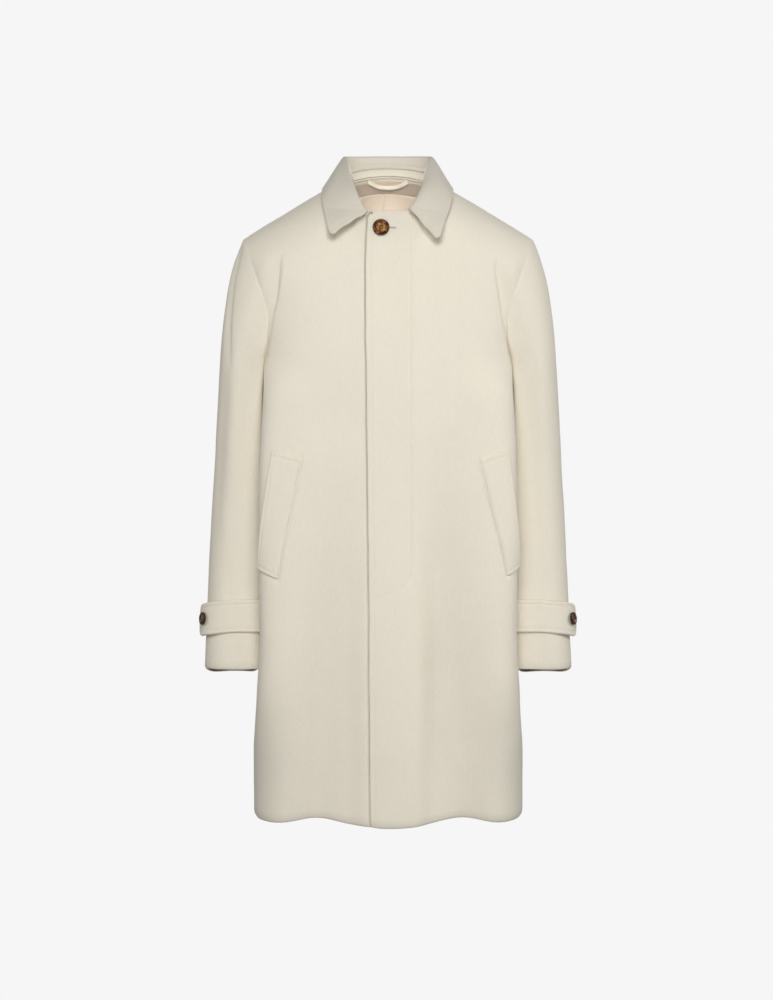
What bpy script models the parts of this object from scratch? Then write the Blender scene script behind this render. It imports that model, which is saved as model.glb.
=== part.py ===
"""Single-breasted car coat of felted wool, filled out as worn and hollow.

Every cloth piece is a wall between an outer and an inner net of points.  The nets come from one body
surface and one sleeve surface, so the pieces on either side of a seam share its points.
"""
import math
from collections import namedtuple

import bmesh
import bpy
import numpy as np
from mathutils import Vector

# Metres. The origin lies midway between the neck points of the shoulders, the front faces -Y, +Z is up
# and the wearer's left is +X.
LEFT, RIGHT = 1, -1
FRONT, BACK = -1, 1
UP = np.array([0.0, 0.0, 1.0])

# Cloth
SHELL = 0.0024          # wool coating with its interlining
WELT_CLOTH = 0.0020
STRAP_CLOTH = 0.0030
FACING_CLOTH = 0.0016
LINING_CLOTH = 0.0010
SEAM_GAP = 0.0003

# Shoulders and neck
NECK_HALF = 0.078       # neck point of the shoulder, from the centre
TIP_HALF = 0.225        # shoulder point, from the centre
SHOULDER_SLOPE = 0.62
SLOPE_FROM = 0.0957     # where the slope is level with the origin
SHOULDER_ROUND = 0.040  # rounding of the slope at the centre
NECK_HUMP = 0.0093      # extra rise inside the neck
NECK_HUMP_FROM = 0.080
NECK_HUMP_RUN = 0.035
SHOULDER_Y = 0.005
ARCH_DROP = 0.100       # height over which the chest and the back round over to the shoulder
COLLAR_START = 0.033    # collar's front end, from the centre
THROAT_SHARE = 0.9954   # depth of the neckline at the throat and at the nape, as a share of the body's
NAPE_SHARE = 0.565
THROAT_POWER = 2.3      # 2 makes the neckline's plan an ellipse, more makes it squarer
NAPE_POWER = 2.0

# Body
HEM_Z = -0.968
HEM_FOLLOW = 0.40       # rise of the hem for each metre that a trough goes in
UNDERARM_Z = -0.255
SECTION_POWER = 2.9     # 2 is an ellipse, more is squarer
FLY_INNER = 0.036       # the left front lies on the right one as far as here
FLY_FADE = 0.030
FLY_GAP = 0.0009
UNDERLAP = 0.027        # reach of the right front past the centre

Section = namedtuple("Section", "z half_width front back")
BODY = [
    Section(0.060, 0.285, 0.100, 0.122),
    Section(-0.020, 0.268, 0.106, 0.124),
    Section(-0.090, 0.246, 0.121, 0.126),
    Section(-0.180, 0.212, 0.137, 0.130),
    Section(-0.255, 0.200, 0.142, 0.128),
    Section(-0.400, 0.207, 0.142, 0.120),
    Section(-0.560, 0.210, 0.147, 0.134),
    Section(-0.760, 0.2100, 0.153, 0.145),
    Section(-0.970, 0.2080, 0.160, 0.152),
]

Edge = namedtuple("Edge", "z x")
FRONT_EDGE = [          # free edge of the left front, from the centre towards the wearer's right
    Edge(-0.050, 0.029),
    Edge(-0.160, 0.032),
    Edge(-0.260, 0.031),
    Edge(-0.500, 0.028),
    Edge(-0.970, 0.025),
]

Armhole = namedtuple("Armhole", "z front back")
ARMHOLE = [             # distance of the armhole's edge from the centre
    Armhole(-0.255, 0.2000, 0.2000),
    Armhole(-0.250, 0.1997, 0.1997),
    Armhole(-0.241, 0.1954, 0.1960),
    Armhole(-0.228, 0.1893, 0.1920),
    Armhole(-0.210, 0.1849, 0.1900),
    Armhole(-0.195, 0.1842, 0.1900),
    Armhole(-0.165, 0.1920, 0.1950),
    Armhole(-0.126, 0.2080, 0.2080),
    Armhole(-0.0823, 0.2250, 0.2250),
]
ARMHOLE_BEND = 4        # power by which the columns near the armhole give way to it

# Largest folds of the fronts and the backs, by their distance from the centre. Troughs are negative.
Fold = namedtuple("Fold", "face at_hem at_top depth width top full")
FOLDS = [
    Fold("front", -0.106, -0.078, -0.022, 0.038, -0.36, -0.80),
    Fold("front", 0.112, 0.066, -0.024, 0.040, -0.34, -0.80),
    Fold("front", 0.005, -0.005, 0.008, 0.050, -0.40, -0.85),
    Fold("front", -0.160, -0.150, 0.004, 0.026, -0.45, -0.85),
    Fold("front", 0.160, 0.140, 0.006, 0.030, -0.45, -0.85),
    Fold("back", -0.105, -0.070, -0.015, 0.042, -0.38, -0.85),
    Fold("back", 0.095, 0.065, -0.016, 0.040, -0.40, -0.85),
]
Hollow = namedtuple("Hollow", "z at depth")
ARM_HOLLOWS = [         # hollow of the side under the arm, by height: its y and its depth
    Hollow(-0.225, 0.016, 0.000),
    Hollow(-0.260, 0.016, -0.005),
    Hollow(-0.330, 0.018, -0.022),
    Hollow(-0.450, 0.014, -0.024),
    Hollow(-0.600, 0.002, -0.024),
    Hollow(-0.700, -0.008, -0.024),
    Hollow(-0.770, -0.010, -0.012),
    Hollow(-0.850, -0.005, 0.000),
]
HOLLOW_WIDTH = 0.050
HOLLOW_FROM = 0.55      # share of the half width where it starts
HOLLOW_FADE = 0.35

# Sleeve: rings of the arm below the armhole, by their centres. The pitch lifts the front of a ring.
Ring = namedtuple("Ring", "z x y half_width half_depth pitch")
SLEEVE = [
    Ring(-0.305, 0.2275, 0.010, 0.0355, 0.0770, 0.0),
    Ring(-0.450, 0.2310, 0.018, 0.0405, 0.0670, 2.0),
    Ring(-0.600, 0.2350, 0.008, 0.0435, 0.0590, 8.0),
    Ring(-0.680, 0.2375, -0.003, 0.0435, 0.0555, 11.0),
    Ring(-0.745, 0.2405, -0.014, 0.0430, 0.0530, 13.0),
]
SLEEVE_TOP = SLEEVE[0].z
CUFF_Z = SLEEVE[-1].z
CAP_RINGS = 6
ARM_RINGS = 10
CAP_OUT = 0.50          # outward lean of the sleeve where it leaves the shoulder point
LOW_LEAN = 0.60         # share of it under the arm
CAP_PULL = 0.85         # how long the sleeve keeps that lean
CAP_SET = 0.0004        # clearance of the cap from the armhole
CAP_TURN = 0.5          # how far round the armhole the cap's wall follows the shoulder's
CAP_TURN_RATE = 1.6
FRONT_SEAM = 150.0      # degrees round the sleeve, from outside by the front
HIND_SEAM = 285.0

# Collar, from its front end to the centre back. The leaf's edge is given for the mean of both sides.
Station = namedtuple("Station", "along rise inward edge_x edge_z clear fold bulge point")
COLLAR = [
    Station(0.000, 0.0040, 0.0000, 0.0795, -0.0960, 0.0060, 0.003, 0.003, 1.0),
    Station(0.100, 0.0093, 0.0060, 0.0850, -0.0830, 0.0060, 0.004, 0.005, 0.8),
    Station(0.235, 0.0146, 0.0140, 0.0900, -0.0640, 0.0065, 0.006, 0.007, 0.5),
    Station(0.384, 0.0251, 0.0165, 0.0945, -0.0420, 0.0080, 0.006, 0.006, 0.2),
    Station(0.545, 0.0373, 0.0130, 0.0965, -0.0030, 0.0065, 0.004, -0.002, 0.0),
    Station(0.635, 0.0394, 0.0100, 0.0925, -0.0105, 0.0050, 0.004, -0.001, 0.0),
    Station(0.722, 0.0375, 0.0070, 0.0835, -0.0125, 0.0045, 0.006, 0.002, 0.0),
    Station(0.812, 0.0315, 0.0050, 0.0640, -0.0105, 0.0040, 0.008, 0.004, 0.0),
    Station(0.906, 0.0288, 0.0040, 0.0350, -0.0050, 0.0040, 0.009, 0.006, 0.0),
    Station(1.000, 0.0273, 0.0035, 0.0000, -0.0030, 0.0040, 0.009, 0.006, 0.0),
]
SHOULDER_STATION = COLLAR[4].along
NECK_AXIS_Y = -0.010
Shift = namedtuple("Shift", "x z")
POINT_SHIFT = {LEFT: Shift(-0.007, -0.003), RIGHT: Shift(0.004, 0.003)}
STAND_SHARE = 0.375     # height of the stand, as a share of the fold's
ROLL_RADIUS = 0.0015    # bend inside the fold
ROLL_TURNS = (130.0, 90.0, 45.0)
LEAF_ROWS = 7
LEAF_BULGE_AT = 0.45    # where the leaf bulges, as a share of the way from its edge to the fold
STAND_ROWS = 2

# Pocket welts: the inner top corner and the lean of each
Pocket = namedtuple("Pocket", "side x z lean")
POCKETS = [
    Pocket(LEFT, 0.139, -0.4255, 14.0),
    Pocket(RIGHT, 0.127, -0.4255, 11.5),
]
POCKET_LENGTH = 0.193
POCKET_WIDTH = 0.046
POCKET_CLEAR = 0.0009   # between a welt and the front
POCKET_ROWS = 9
POCKET_COLUMNS = 3
POCKET_NAMES = {LEFT: "left_pocket_welt", RIGHT: "right_pocket_welt"}

# Sleeve straps
STRAP_Z = -0.671
STRAP_HALF = 0.0255
STRAP_FROM = 150.0
STRAP_TO = 6.0
STRAP_LOOSE = 0.0065    # how far the buttoned end stands off
STRAP_LOOSE_FROM = 0.45
STRAP_ROUND = 0.10      # share of its length over which the end is rounded off
STRAP_END_WIDTH = 0.55
STRAP_CLEAR = 0.0009    # between a strap's sewn end and the sleeve
STRAP_COLUMNS = 16
STRAP_ROWS = 4
STRAP_BUTTON_AT = 0.79

# Buttons
Button = namedtuple("Button", "radius thick hole hole_ring")
NECK_BUTTON = Button(0.0127, 0.0044, 0.0011, 0.0027)
STRAP_BUTTON = Button(0.0100, 0.0040, 0.0010, 0.0023)
NECK_BUTTON_X = -0.0104
NECK_BUTTON_Z = -0.0840
NECK_BUTTON_CLEAR = 0.0005
Turned = namedtuple("Turned", "out up")
BUTTON_PROFILE = [      # from the face's centre over the rim to the back's, by radius and half thickness
    Turned(0.00, 0.60),
    Turned(0.61, 0.60),
    Turned(0.76, 0.84),
    Turned(0.90, 1.00),
    Turned(1.00, 0.35),
    Turned(0.97, -0.40),
    Turned(0.75, -1.00),
    Turned(0.00, -1.00),
]
BUTTON_STEPS = 28
BUTTON_HOLES = 4
HOLE_SIDES = 10

# Inside of the back neck
FACING_ROWS = 2         # rows of the back's net that the facing covers
FACING_TRIM = 0.05      # share of a row that the facing's edges stay back
LINING_ROWS = 2         # rows below the underarm that the half lining covers
LOOP_HALF = 0.031
LOOP_Z = 0.0165
LOOP_SAG = 0.0095
LOOP_RADIUS = 0.0030
LOOP_CLEAR = 0.0014     # between the loop's sewn ends and the facing
LOOP_OFF = 0.0060       # how much further its middle stands off
LOOP_SLACK = 2.5        # more makes the loop squarer
LOOP_STEPS = 16

# Counts of the nets
EDGE_COLUMNS = 4
THROAT_COLUMNS = 6
NAPE_COLUMNS = 5
SHOULDER_COLUMNS = 9
SKIRT_ROWS = 13
CHEST_ROWS = 11
CHEST_SPREAD = 1.60     # more brings the chest's rows closer to the underarm
SECTION_SAMPLES = 181
COLUMN_SAMPLES = 401


def ease(t):
    t = np.clip(t, 0.0, 1.0)
    return t * t * (3.0 - 2.0 * t)


def unit(v):
    return v / np.linalg.norm(v)


def smooth_column(table, name, knot="z"):
    """Smooth curve through one column of a table."""
    rows = sorted(table, key=lambda row: getattr(row, knot))
    at = np.array([getattr(row, knot) for row in rows])
    value = np.array([getattr(row, name) for row in rows])
    slope = np.gradient(value, at)

    def read(t):
        t = min(max(t, at[0]), at[-1])
        i = int(np.clip(np.searchsorted(at, t) - 1, 0, len(at) - 2))
        span = at[i + 1] - at[i]
        w = (t - at[i]) / span
        start = (1 + 2 * w) * (1 - w) ** 2 * value[i] + w * (1 - w) ** 2 * span * slope[i]
        end = w * w * (3 - 2 * w) * value[i + 1] + w * w * (w - 1) * span * slope[i + 1]
        return start + end

    return read


half_width_at = smooth_column(BODY, "half_width")
depth_at = {FRONT: smooth_column(BODY, "front"), BACK: smooth_column(BODY, "back")}
front_edge_at = smooth_column(FRONT_EDGE, "x")
armhole_at = {FRONT: smooth_column(ARMHOLE, "front"), BACK: smooth_column(ARMHOLE, "back")}
hollow_at = smooth_column(ARM_HOLLOWS, "at")
hollow_depth_at = smooth_column(ARM_HOLLOWS, "depth")
ring_at = {name: smooth_column(SLEEVE, name) for name in Ring._fields}
collar_at = {name: smooth_column(COLLAR, name, "along") for name in Station._fields}


# Body surface
def shoulder_line(x):
    hump = NECK_HUMP * ease((NECK_HUMP_FROM - abs(x)) / NECK_HUMP_RUN)
    return SHOULDER_SLOPE * (SLOPE_FROM - math.hypot(x, SHOULDER_ROUND)) + hump


def neck_line(face, x):
    """Height of the neckline, whose plan is a rounded corner on each side."""
    if face == FRONT:
        start, share, power = COLLAR_START, THROAT_SHARE, THROAT_POWER
    else:
        start, share, power = 0.0, NAPE_SHARE, NAPE_POWER
    from_start = min(max(abs(x) - start, 0.0) / (NECK_HALF - start), 1.0)
    share *= (1.0 - from_start ** power) ** (1.0 / power)
    return shoulder_line(max(abs(x), start)) - ARCH_DROP * (1.0 - math.sqrt(1.0 - share * share))


def top_line(face, x):
    return neck_line(face, x) if abs(x) < NECK_HALF else shoulder_line(x)


def round_over(drop):
    """Share of its full depth that the body has this far under the shoulder line."""
    left = 1.0 - min(max(drop / ARCH_DROP, 0.0), 1.0)
    return math.sqrt(1.0 - left * left)


def section(face, z):
    """Half of a level section, from the centre line to the side: x, depth and length of arc."""
    angle = np.linspace(0.0, math.pi / 2, SECTION_SAMPLES)
    wide = (np.sin(angle) / half_width_at(z)) ** SECTION_POWER
    deep = (np.cos(angle) / depth_at[face](z)) ** SECTION_POWER
    reach = (wide + deep) ** (-1.0 / SECTION_POWER)
    x = reach * np.sin(angle)
    depth = reach * np.cos(angle)
    arc = np.concatenate(([0.0], np.cumsum(np.hypot(np.diff(x), np.diff(depth)))))
    return x, depth, arc


def level(face, p):
    """Falls through zero from inside the body to outside."""
    x, y, z = p
    left = max(1.0 - (shoulder_line(x) - z) / ARCH_DROP, 0.0)
    side = max(1.0 - (abs(x) / half_width_at(z)) ** SECTION_POWER, 1e-7) ** (2.0 / SECTION_POWER)
    return (1.0 - left * left) * side - ((y - SHOULDER_Y) / depth_at[face](z)) ** 2


def body_normal(face, p):
    step = 1e-5
    slope = [level(face, p + step * axis) - level(face, p - step * axis) for axis in np.eye(3)]
    return -unit(np.array(slope))


def fold_offset(face, p):
    x, y, z = p
    total = 0.0
    for fold in FOLDS:
        if (fold.face == "front") == (face == FRONT):
            grown = ease((fold.top - z) / (fold.top - fold.full))
            reach = np.clip((fold.top - z) / (fold.top - HEM_Z), 0.0, 1.0)
            at = fold.at_top + (fold.at_hem - fold.at_top) * reach
            total += fold.depth * grown * math.exp(-(((x - at) / fold.width) ** 2))
    beside = ease((abs(x) / half_width_at(z) - HOLLOW_FROM) / HOLLOW_FADE)
    total += hollow_depth_at(z) * beside * math.exp(-(((y - hollow_at(z)) / HOLLOW_WIDTH) ** 2))
    return total


def surface(face, arc, z, lift=0.0):
    """Point and outward normal of the body, by the arc from the centre line and the height."""
    xs, depths, arcs = section(face, z)
    x = math.copysign(np.interp(abs(arc), arcs, xs), arc)
    depth = np.interp(abs(arc), arcs, depths)
    y = SHOULDER_Y + face * (SEAM_GAP / 2 + depth * round_over(shoulder_line(x) - z))
    p = np.array([x, y, z])
    n = body_normal(face, p)
    return p + n * (lift + fold_offset(face, p)), n


def arc_to(face, x, z):
    xs, depths, arcs = section(face, z)
    return math.copysign(np.interp(abs(x), xs, arcs), x)


def outer_arc(face, z):
    """Arc from the centre line to the side seam, or above it to the armhole."""
    if z <= UNDERARM_Z:
        return section(face, z)[2][-1]
    return arc_to(face, armhole_at[face](z), z)


def fly_lift(x):
    """Rise of the left front where it lies on the right one."""
    return (SHELL + FLY_GAP) * ease((FLY_INNER + FLY_FADE - x) / FLY_FADE)


# Nets of the four body panels
def panel_net(face, side, inner_x, lifted, top_xs):
    """Rows from the hem up, columns from the panel's inner edge to its side, by where they end above."""

    def arc(u, z):
        inner = arc_to(face, inner_x(z), z)
        full = section(face, z)[2][-1]
        return inner + u * (full - inner) - (full - outer_arc(face, z)) * u ** ARMHOLE_BEND

    def place(u, z):
        along = arc(u, z)
        xs, depths, arcs = section(face, z)
        x = math.copysign(np.interp(abs(along), arcs, xs), along)
        return surface(face, side * along, z, fly_lift(x) if lifted else 0.0)

    columns = []
    for x in top_xs:
        top = top_line(face, x)
        tries = np.linspace(0.0, 1.0, COLUMN_SAMPLES)
        u = np.interp(arc_to(face, x, top), arc(tries, top), tries)
        hem_point = surface(face, side * arc(u, HEM_Z), HEM_Z)[0]
        columns.append((u, top, HEM_Z - HEM_FOLLOW * fold_offset(face, hem_point)))
    outer, normal = [], []
    for row in range(SKIRT_ROWS + CHEST_ROWS + 1):
        line = []
        for u, top, hem in columns:
            if row <= SKIRT_ROWS:
                z = hem + (UNDERARM_Z - hem) * row / SKIRT_ROWS
            else:
                rest = 1.0 - ((row - SKIRT_ROWS) / CHEST_ROWS) ** CHEST_SPREAD
                z = top - (top - UNDERARM_Z) * rest * rest
            line.append(place(u, z))
        outer.append([p for p, n in line])
        normal.append([n for p, n in line])
    return np.array(outer), np.array(normal)


def neck_steps(start, count):
    """Distances from the centre that are even round the neckline."""
    return [start + (NECK_HALF - start) * math.sin(math.pi / 2 * k / count) for k in range(count + 1)]


# Scene objects
def material(name, colour, roughness):
    made = bpy.data.materials.new(name)
    made.use_nodes = True
    shader = made.node_tree.nodes["Principled BSDF"]
    shader.inputs["Base Color"].default_value = colour
    shader.inputs["Roughness"].default_value = roughness
    shader.inputs["Metallic"].default_value = 0.0
    return made


def add_object(name, mesh, colour_of):
    made = bpy.data.objects.new(name, mesh)
    mesh.materials.append(colour_of(name))
    coat.objects.link(made)
    return made


def wall(name, outer, inner, colour_of):
    """Closed wall between two nets of the same rows and columns."""
    rows, columns = outer.shape[:2]
    bm = bmesh.new()
    out = [[bm.verts.new(p) for p in line] for line in outer]
    back = [[bm.verts.new(p) for p in line] for line in inner]
    for i in range(rows - 1):
        for j in range(columns - 1):
            ring = [(i, j), (i, j + 1), (i + 1, j + 1), (i + 1, j)]
            if abs(outer[i, j, 0]) > abs(outer[i, j + 1, 0]):
                ring = ring[1:] + ring[:1]
            bm.faces.new([out[a][b] for a, b in ring])
            bm.faces.new([back[a][b] for a, b in ring])
    round_it = [(0, j) for j in range(columns)]
    round_it += [(i, columns - 1) for i in range(1, rows)]
    round_it += [(rows - 1, j) for j in range(columns - 2, -1, -1)]
    round_it += [(i, 0) for i in range(rows - 2, 0, -1)]
    for (i, j), (k, m) in zip(round_it, round_it[1:] + round_it[:1]):
        bm.faces.new((out[k][m], out[i][j], back[i][j], back[k][m]))
    bmesh.ops.recalc_face_normals(bm, faces=bm.faces)
    mesh = bpy.data.meshes.new(name)
    bm.to_mesh(mesh)
    bm.free()
    return add_object(name, mesh, colour_of)


def net_normals(net, closed):
    """Normals of a net from its neighbours, towards the side that its columns and rows turn to."""
    if closed:
        across = np.roll(net, -1, axis=1) - np.roll(net, 1, axis=1)
    else:
        across = np.gradient(net, axis=1)
    along = np.gradient(net, axis=0)
    normal = np.cross(across, along)
    return normal / np.linalg.norm(normal, axis=2, keepdims=True)


# Sleeves
def arm_point(side, degrees, z):
    """Point of the arm below the cap, by the angle from outside through the front."""
    turn = math.radians(degrees)
    y = -ring_at["half_depth"](z) * math.sin(turn)
    x = ring_at["x"](z) + ring_at["half_width"](z) * math.cos(turn)
    lifted = z - y * math.tan(math.radians(ring_at["pitch"](z)))
    return np.array([side * x, ring_at["y"](z) + y, lifted])


def arm_normal(side, degrees, z):
    turn_step, z_step = 1.0, 0.002
    around = arm_point(side, degrees + turn_step, z) - arm_point(side, degrees - turn_step, z)
    down = arm_point(side, degrees, z - z_step) - arm_point(side, degrees, z + z_step)
    return unit(np.cross(around, down)) * side


def sleeve_net(side, front_line, back_line, front_normals, back_normals):
    """Rings from the armhole down, columns round the sleeve from outside through the front."""
    hole = np.concatenate((front_line[::-1], back_line[1:-1]))
    hole_normals = np.concatenate((front_normals[::-1], back_normals[1:-1]))
    half = CHEST_ROWS
    hole[0, 1] = hole[half, 1] = SHOULDER_Y
    steps = np.linalg.norm(np.roll(hole, -1, axis=0) - hole, axis=1)
    front_arc = np.concatenate(([0.0], np.cumsum(steps[:half])))
    back_arc = np.concatenate(([0.0], np.cumsum(steps[half:])))
    degrees = np.concatenate((180.0 * front_arc[:-1] / front_arc[-1],
                              180.0 + 180.0 * back_arc[:-1] / back_arc[-1]))
    hole = hole + np.array([side * CAP_SET, 0.0, 0.0])
    rings = []
    for q in np.linspace(0.0, 1.0, CAP_RINGS + 1):
        ring = []
        for start, turn in zip(hole, degrees):
            end = arm_point(side, turn, SLEEVE_TOP)
            upper = 0.5 + 0.5 * math.cos(math.radians(turn))
            reach = np.linalg.norm(end - start)
            lean = CAP_OUT * (LOW_LEAN + (1.0 - LOW_LEAN) * upper)
            leave = unit(np.array([side * lean, 0.0, -1.0])) * reach * CAP_PULL
            arrive = unit(arm_point(side, turn, SLEEVE_TOP - 0.01) - end) * reach
            ring.append((1 + 2 * q) * (1 - q) ** 2 * start + q * (1 - q) ** 2 * leave
                        + q * q * (3 - 2 * q) * end + q * q * (q - 1) * arrive)
        rings.append(ring)
    for z in np.linspace(SLEEVE_TOP, CUFF_Z, ARM_RINGS + 1)[1:]:
        rings.append([arm_point(side, turn, z) for turn in degrees])
    outer = np.array(rings)
    normal = net_normals(outer, closed=True) * side
    share = ease(CAP_TURN + CAP_TURN_RATE * np.cos(np.radians(degrees)))[:, None]
    first = hole_normals * share + normal[0] * (1.0 - share)
    normal[0] = first / np.linalg.norm(first, axis=1, keepdims=True)
    return outer, normal, degrees


def half_sleeve(name, outer, normal, columns, colour_of):
    out = outer[:, columns].copy()
    inner = out - SHELL * normal[:, columns]
    for net in (out, inner):
        for edge, inside in ((0, 1), (-1, -2)):
            away = net[:, inside] - net[:, edge]
            away /= np.linalg.norm(away, axis=1, keepdims=True)
            net[:, edge] += away * SEAM_GAP / 2
    wall(name, out, inner, colour_of)


# Collar
def neckline_shares(neckline):
    """Share of the way from the collar's front end to the centre back, at each point of the neckline."""
    steps = np.linalg.norm(np.diff(neckline, axis=0), axis=1)
    along = np.concatenate(([0.0], np.cumsum(steps)))
    return along / along[-1]


def face_point(face, x, z, clear):
    """Point of the body's front or back above a given x and height, with its clearance."""
    p, n = surface(face, arc_to(face, x, z), z)
    return p + n * clear, n


def leaf_edge(side, along):
    shift = POINT_SHIFT[side]
    point = collar_at["point"](along)
    x = collar_at["edge_x"](along) + point * shift.x
    z = collar_at["edge_z"](along) + point * shift.z
    face = FRONT if along < SHOULDER_STATION else BACK
    z = min(z, shoulder_line(x))
    lift = collar_at["clear"](along) + (fly_lift(x) if side == LEFT else 0.0)
    return face_point(face, side * x, z, lift)[0]


def collar_nets(side, neckline):
    """Outer net of the stand and inside of the folded leaf, for one side from the front to the back."""
    stand, leaf, outs = [], [], []
    for base, along in zip(neckline, neckline_shares(neckline)):
        out = unit(np.array([base[0], base[1] - NECK_AXIS_Y, 0.0]))
        foot = base + UP * SEAM_GAP
        climb = UP * collar_at["rise"](along) - out * collar_at["inward"](along)
        roll = foot + climb
        seam = foot + climb * STAND_SHARE
        stand.append([foot + (seam - foot) * t for t in np.linspace(0.0, 1.0, STAND_ROWS + 1)])
        upward = unit(climb)
        start = seam + upward * SEAM_GAP
        radius = min(ROLL_RADIUS, np.linalg.norm(roll - start) / 2)
        bend = roll - upward * radius
        line = [start, (start + bend) / 2, bend]
        for turn in np.radians(ROLL_TURNS):
            line.append(bend + radius * (out * (1.0 + math.cos(turn)) + upward * math.sin(turn)))
        onward = unit(out * math.sin(turn) - upward * math.cos(turn))
        edge = leaf_edge(side, along)
        first = line[-1]
        second = first + onward * collar_at["fold"](along)
        third = edge + LEAF_BULGE_AT * (roll - edge) + out * collar_at["bulge"](along)
        for t in np.linspace(0.0, 1.0, LEAF_ROWS + 1)[1:]:
            line.append((1 - t) ** 3 * first + 3 * t * (1 - t) ** 2 * second
                        + 3 * t * t * (1 - t) * third + t ** 3 * edge)
        leaf.append(line)
        outs.append(out)
    return np.array(stand), np.array(leaf), np.array(outs)


# Buttons
def turned_button(name, size, centre, axis, colour_of):
    """Button with its face towards the axis, a screwed profile with drilled thread holes."""
    bm = bmesh.new()
    points = [bm.verts.new((t.out * size.radius, 0.0, t.up * size.thick / 2)) for t in BUTTON_PROFILE]
    for a, b in zip(points, points[1:]):
        bm.edges.new((a, b))
    mesh = bpy.data.meshes.new(name)
    bm.to_mesh(mesh)
    bm.free()
    made = add_object(name, mesh, colour_of)
    turn = made.modifiers.new("turned", "SCREW")
    turn.axis = "Z"
    turn.steps = BUTTON_STEPS
    turn.render_steps = BUTTON_STEPS
    turn.use_merge_vertices = True
    turn.merge_threshold = 1e-5
    turn.use_normal_calculate = True
    bm = bmesh.new()
    for k in range(BUTTON_HOLES):
        angle = 2 * math.pi * (k + 0.5) / BUTTON_HOLES
        pin = bmesh.ops.create_cone(bm, cap_ends=True, segments=HOLE_SIDES, radius1=size.hole,
                                    radius2=size.hole, depth=size.thick * 2)
        spot = Vector((math.cos(angle), math.sin(angle), 0.0)) * size.hole_ring
        bmesh.ops.translate(bm, verts=pin["verts"], vec=spot)
    pins_mesh = bpy.data.meshes.new(name + "_holes")
    bm.to_mesh(pins_mesh)
    bm.free()
    pins = bpy.data.objects.new(name + "_holes", pins_mesh)
    cutters.objects.link(pins)
    pins.hide_render = True
    pins.display_type = "WIRE"
    drill = made.modifiers.new("thread holes", "BOOLEAN")
    drill.operation = "DIFFERENCE"
    drill.solver = "EXACT"
    drill.object = pins
    for placed in (made, pins):
        placed.rotation_mode = "QUATERNION"
        placed.rotation_quaternion = Vector(axis).to_track_quat("Z", "Y")
        placed.location = centre


for old in list(bpy.data.objects):
    bpy.data.objects.remove(old)
coat = bpy.data.collections.new("car_coat")
cutters = bpy.data.collections.new("cutters")
for group in (coat, cutters):
    bpy.context.scene.collection.children.link(group)


def wool(name):
    return material(name + "_wool", (0.78, 0.74, 0.65, 1.0), 0.90)


def satin(name):
    return material(name + "_satin", (0.78, 0.58, 0.42, 1.0), 0.45)


def horn(name):
    return material(name + "_horn", (0.20, 0.09, 0.03, 1.0), 0.25)


# Fronts and backs
panels = {}
over_shoulder = list(np.linspace(NECK_HALF, TIP_HALF, SHOULDER_COLUMNS + 1)[1:])
throat = neck_steps(COLLAR_START, THROAT_COLUMNS)
nape = neck_steps(0.0, NAPE_COLUMNS)
for side, name in ((LEFT, "left_front"), (RIGHT, "right_front")):
    lifted = side == LEFT
    inner = (lambda z: -front_edge_at(z)) if lifted else (lambda z: -UNDERLAP)
    first = inner(-ARCH_DROP / 2)
    top_xs = list(np.linspace(first, COLLAR_START, EDGE_COLUMNS + 1)[:-1]) + throat + over_shoulder
    outer, normal = panel_net(FRONT, side, inner, lifted, top_xs)
    panels[FRONT, side] = outer, normal
    wall(name, outer, outer - SHELL * normal, wool)
for side, name in ((LEFT, "back_left"), (RIGHT, "back_right")):
    outer, normal = panel_net(BACK, side, lambda z: 0.0, False, nape + over_shoulder)
    outer[:, 0, 0] += side * SEAM_GAP / 2
    panels[BACK, side] = outer, normal
    wall(name, outer, outer - SHELL * normal, wool)

# Sleeves, each of a top and an under piece
for side, word in ((LEFT, "left"), (RIGHT, "right")):
    front, front_normal = panels[FRONT, side]
    back, back_normal = panels[BACK, side]
    chest = slice(SKIRT_ROWS, None)
    outer, normal, degrees = sleeve_net(side, front[chest, -1], back[chest, -1],
                                        front_normal[chest, -1], back_normal[chest, -1])
    count = len(degrees)
    at_front = int(np.argmin(np.abs(degrees - FRONT_SEAM)))
    at_hind = int(np.argmin(np.abs(degrees - HIND_SEAM)))
    top_columns = [k % count for k in range(at_hind, at_front + count + 1)]
    half_sleeve(word + "_top_sleeve", outer, normal, top_columns, wool)
    half_sleeve(word + "_under_sleeve", outer, normal, list(range(at_front, at_hind + 1)), wool)

# Collar leaf and stand
halves = {}
for side in (LEFT, RIGHT):
    front = panels[FRONT, side][0][-1, EDGE_COLUMNS:EDGE_COLUMNS + THROAT_COLUMNS + 1]
    back = panels[BACK, side][0][-1, NAPE_COLUMNS - 1::-1]
    halves[side] = collar_nets(side, np.concatenate((front, back)))
stand, leaf, outs = (np.concatenate((halves[RIGHT][k][:-1], halves[LEFT][k][::-1])) for k in range(3))
leaf_normal = net_normals(leaf, closed=False)
leaf_normal *= np.sign((leaf_normal[:, -1] * outs).sum(axis=1))[:, None, None]
wall("collar_leaf", leaf + SHELL * leaf_normal, leaf, wool)
share = np.linspace(0.0, 1.0, STAND_ROWS + 1)[None, :, None]
inward = leaf_normal[:, :1] * share - outs[:, None] * (1.0 - share)
wall("collar_stand", stand, stand + SHELL * inward, wool)

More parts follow.
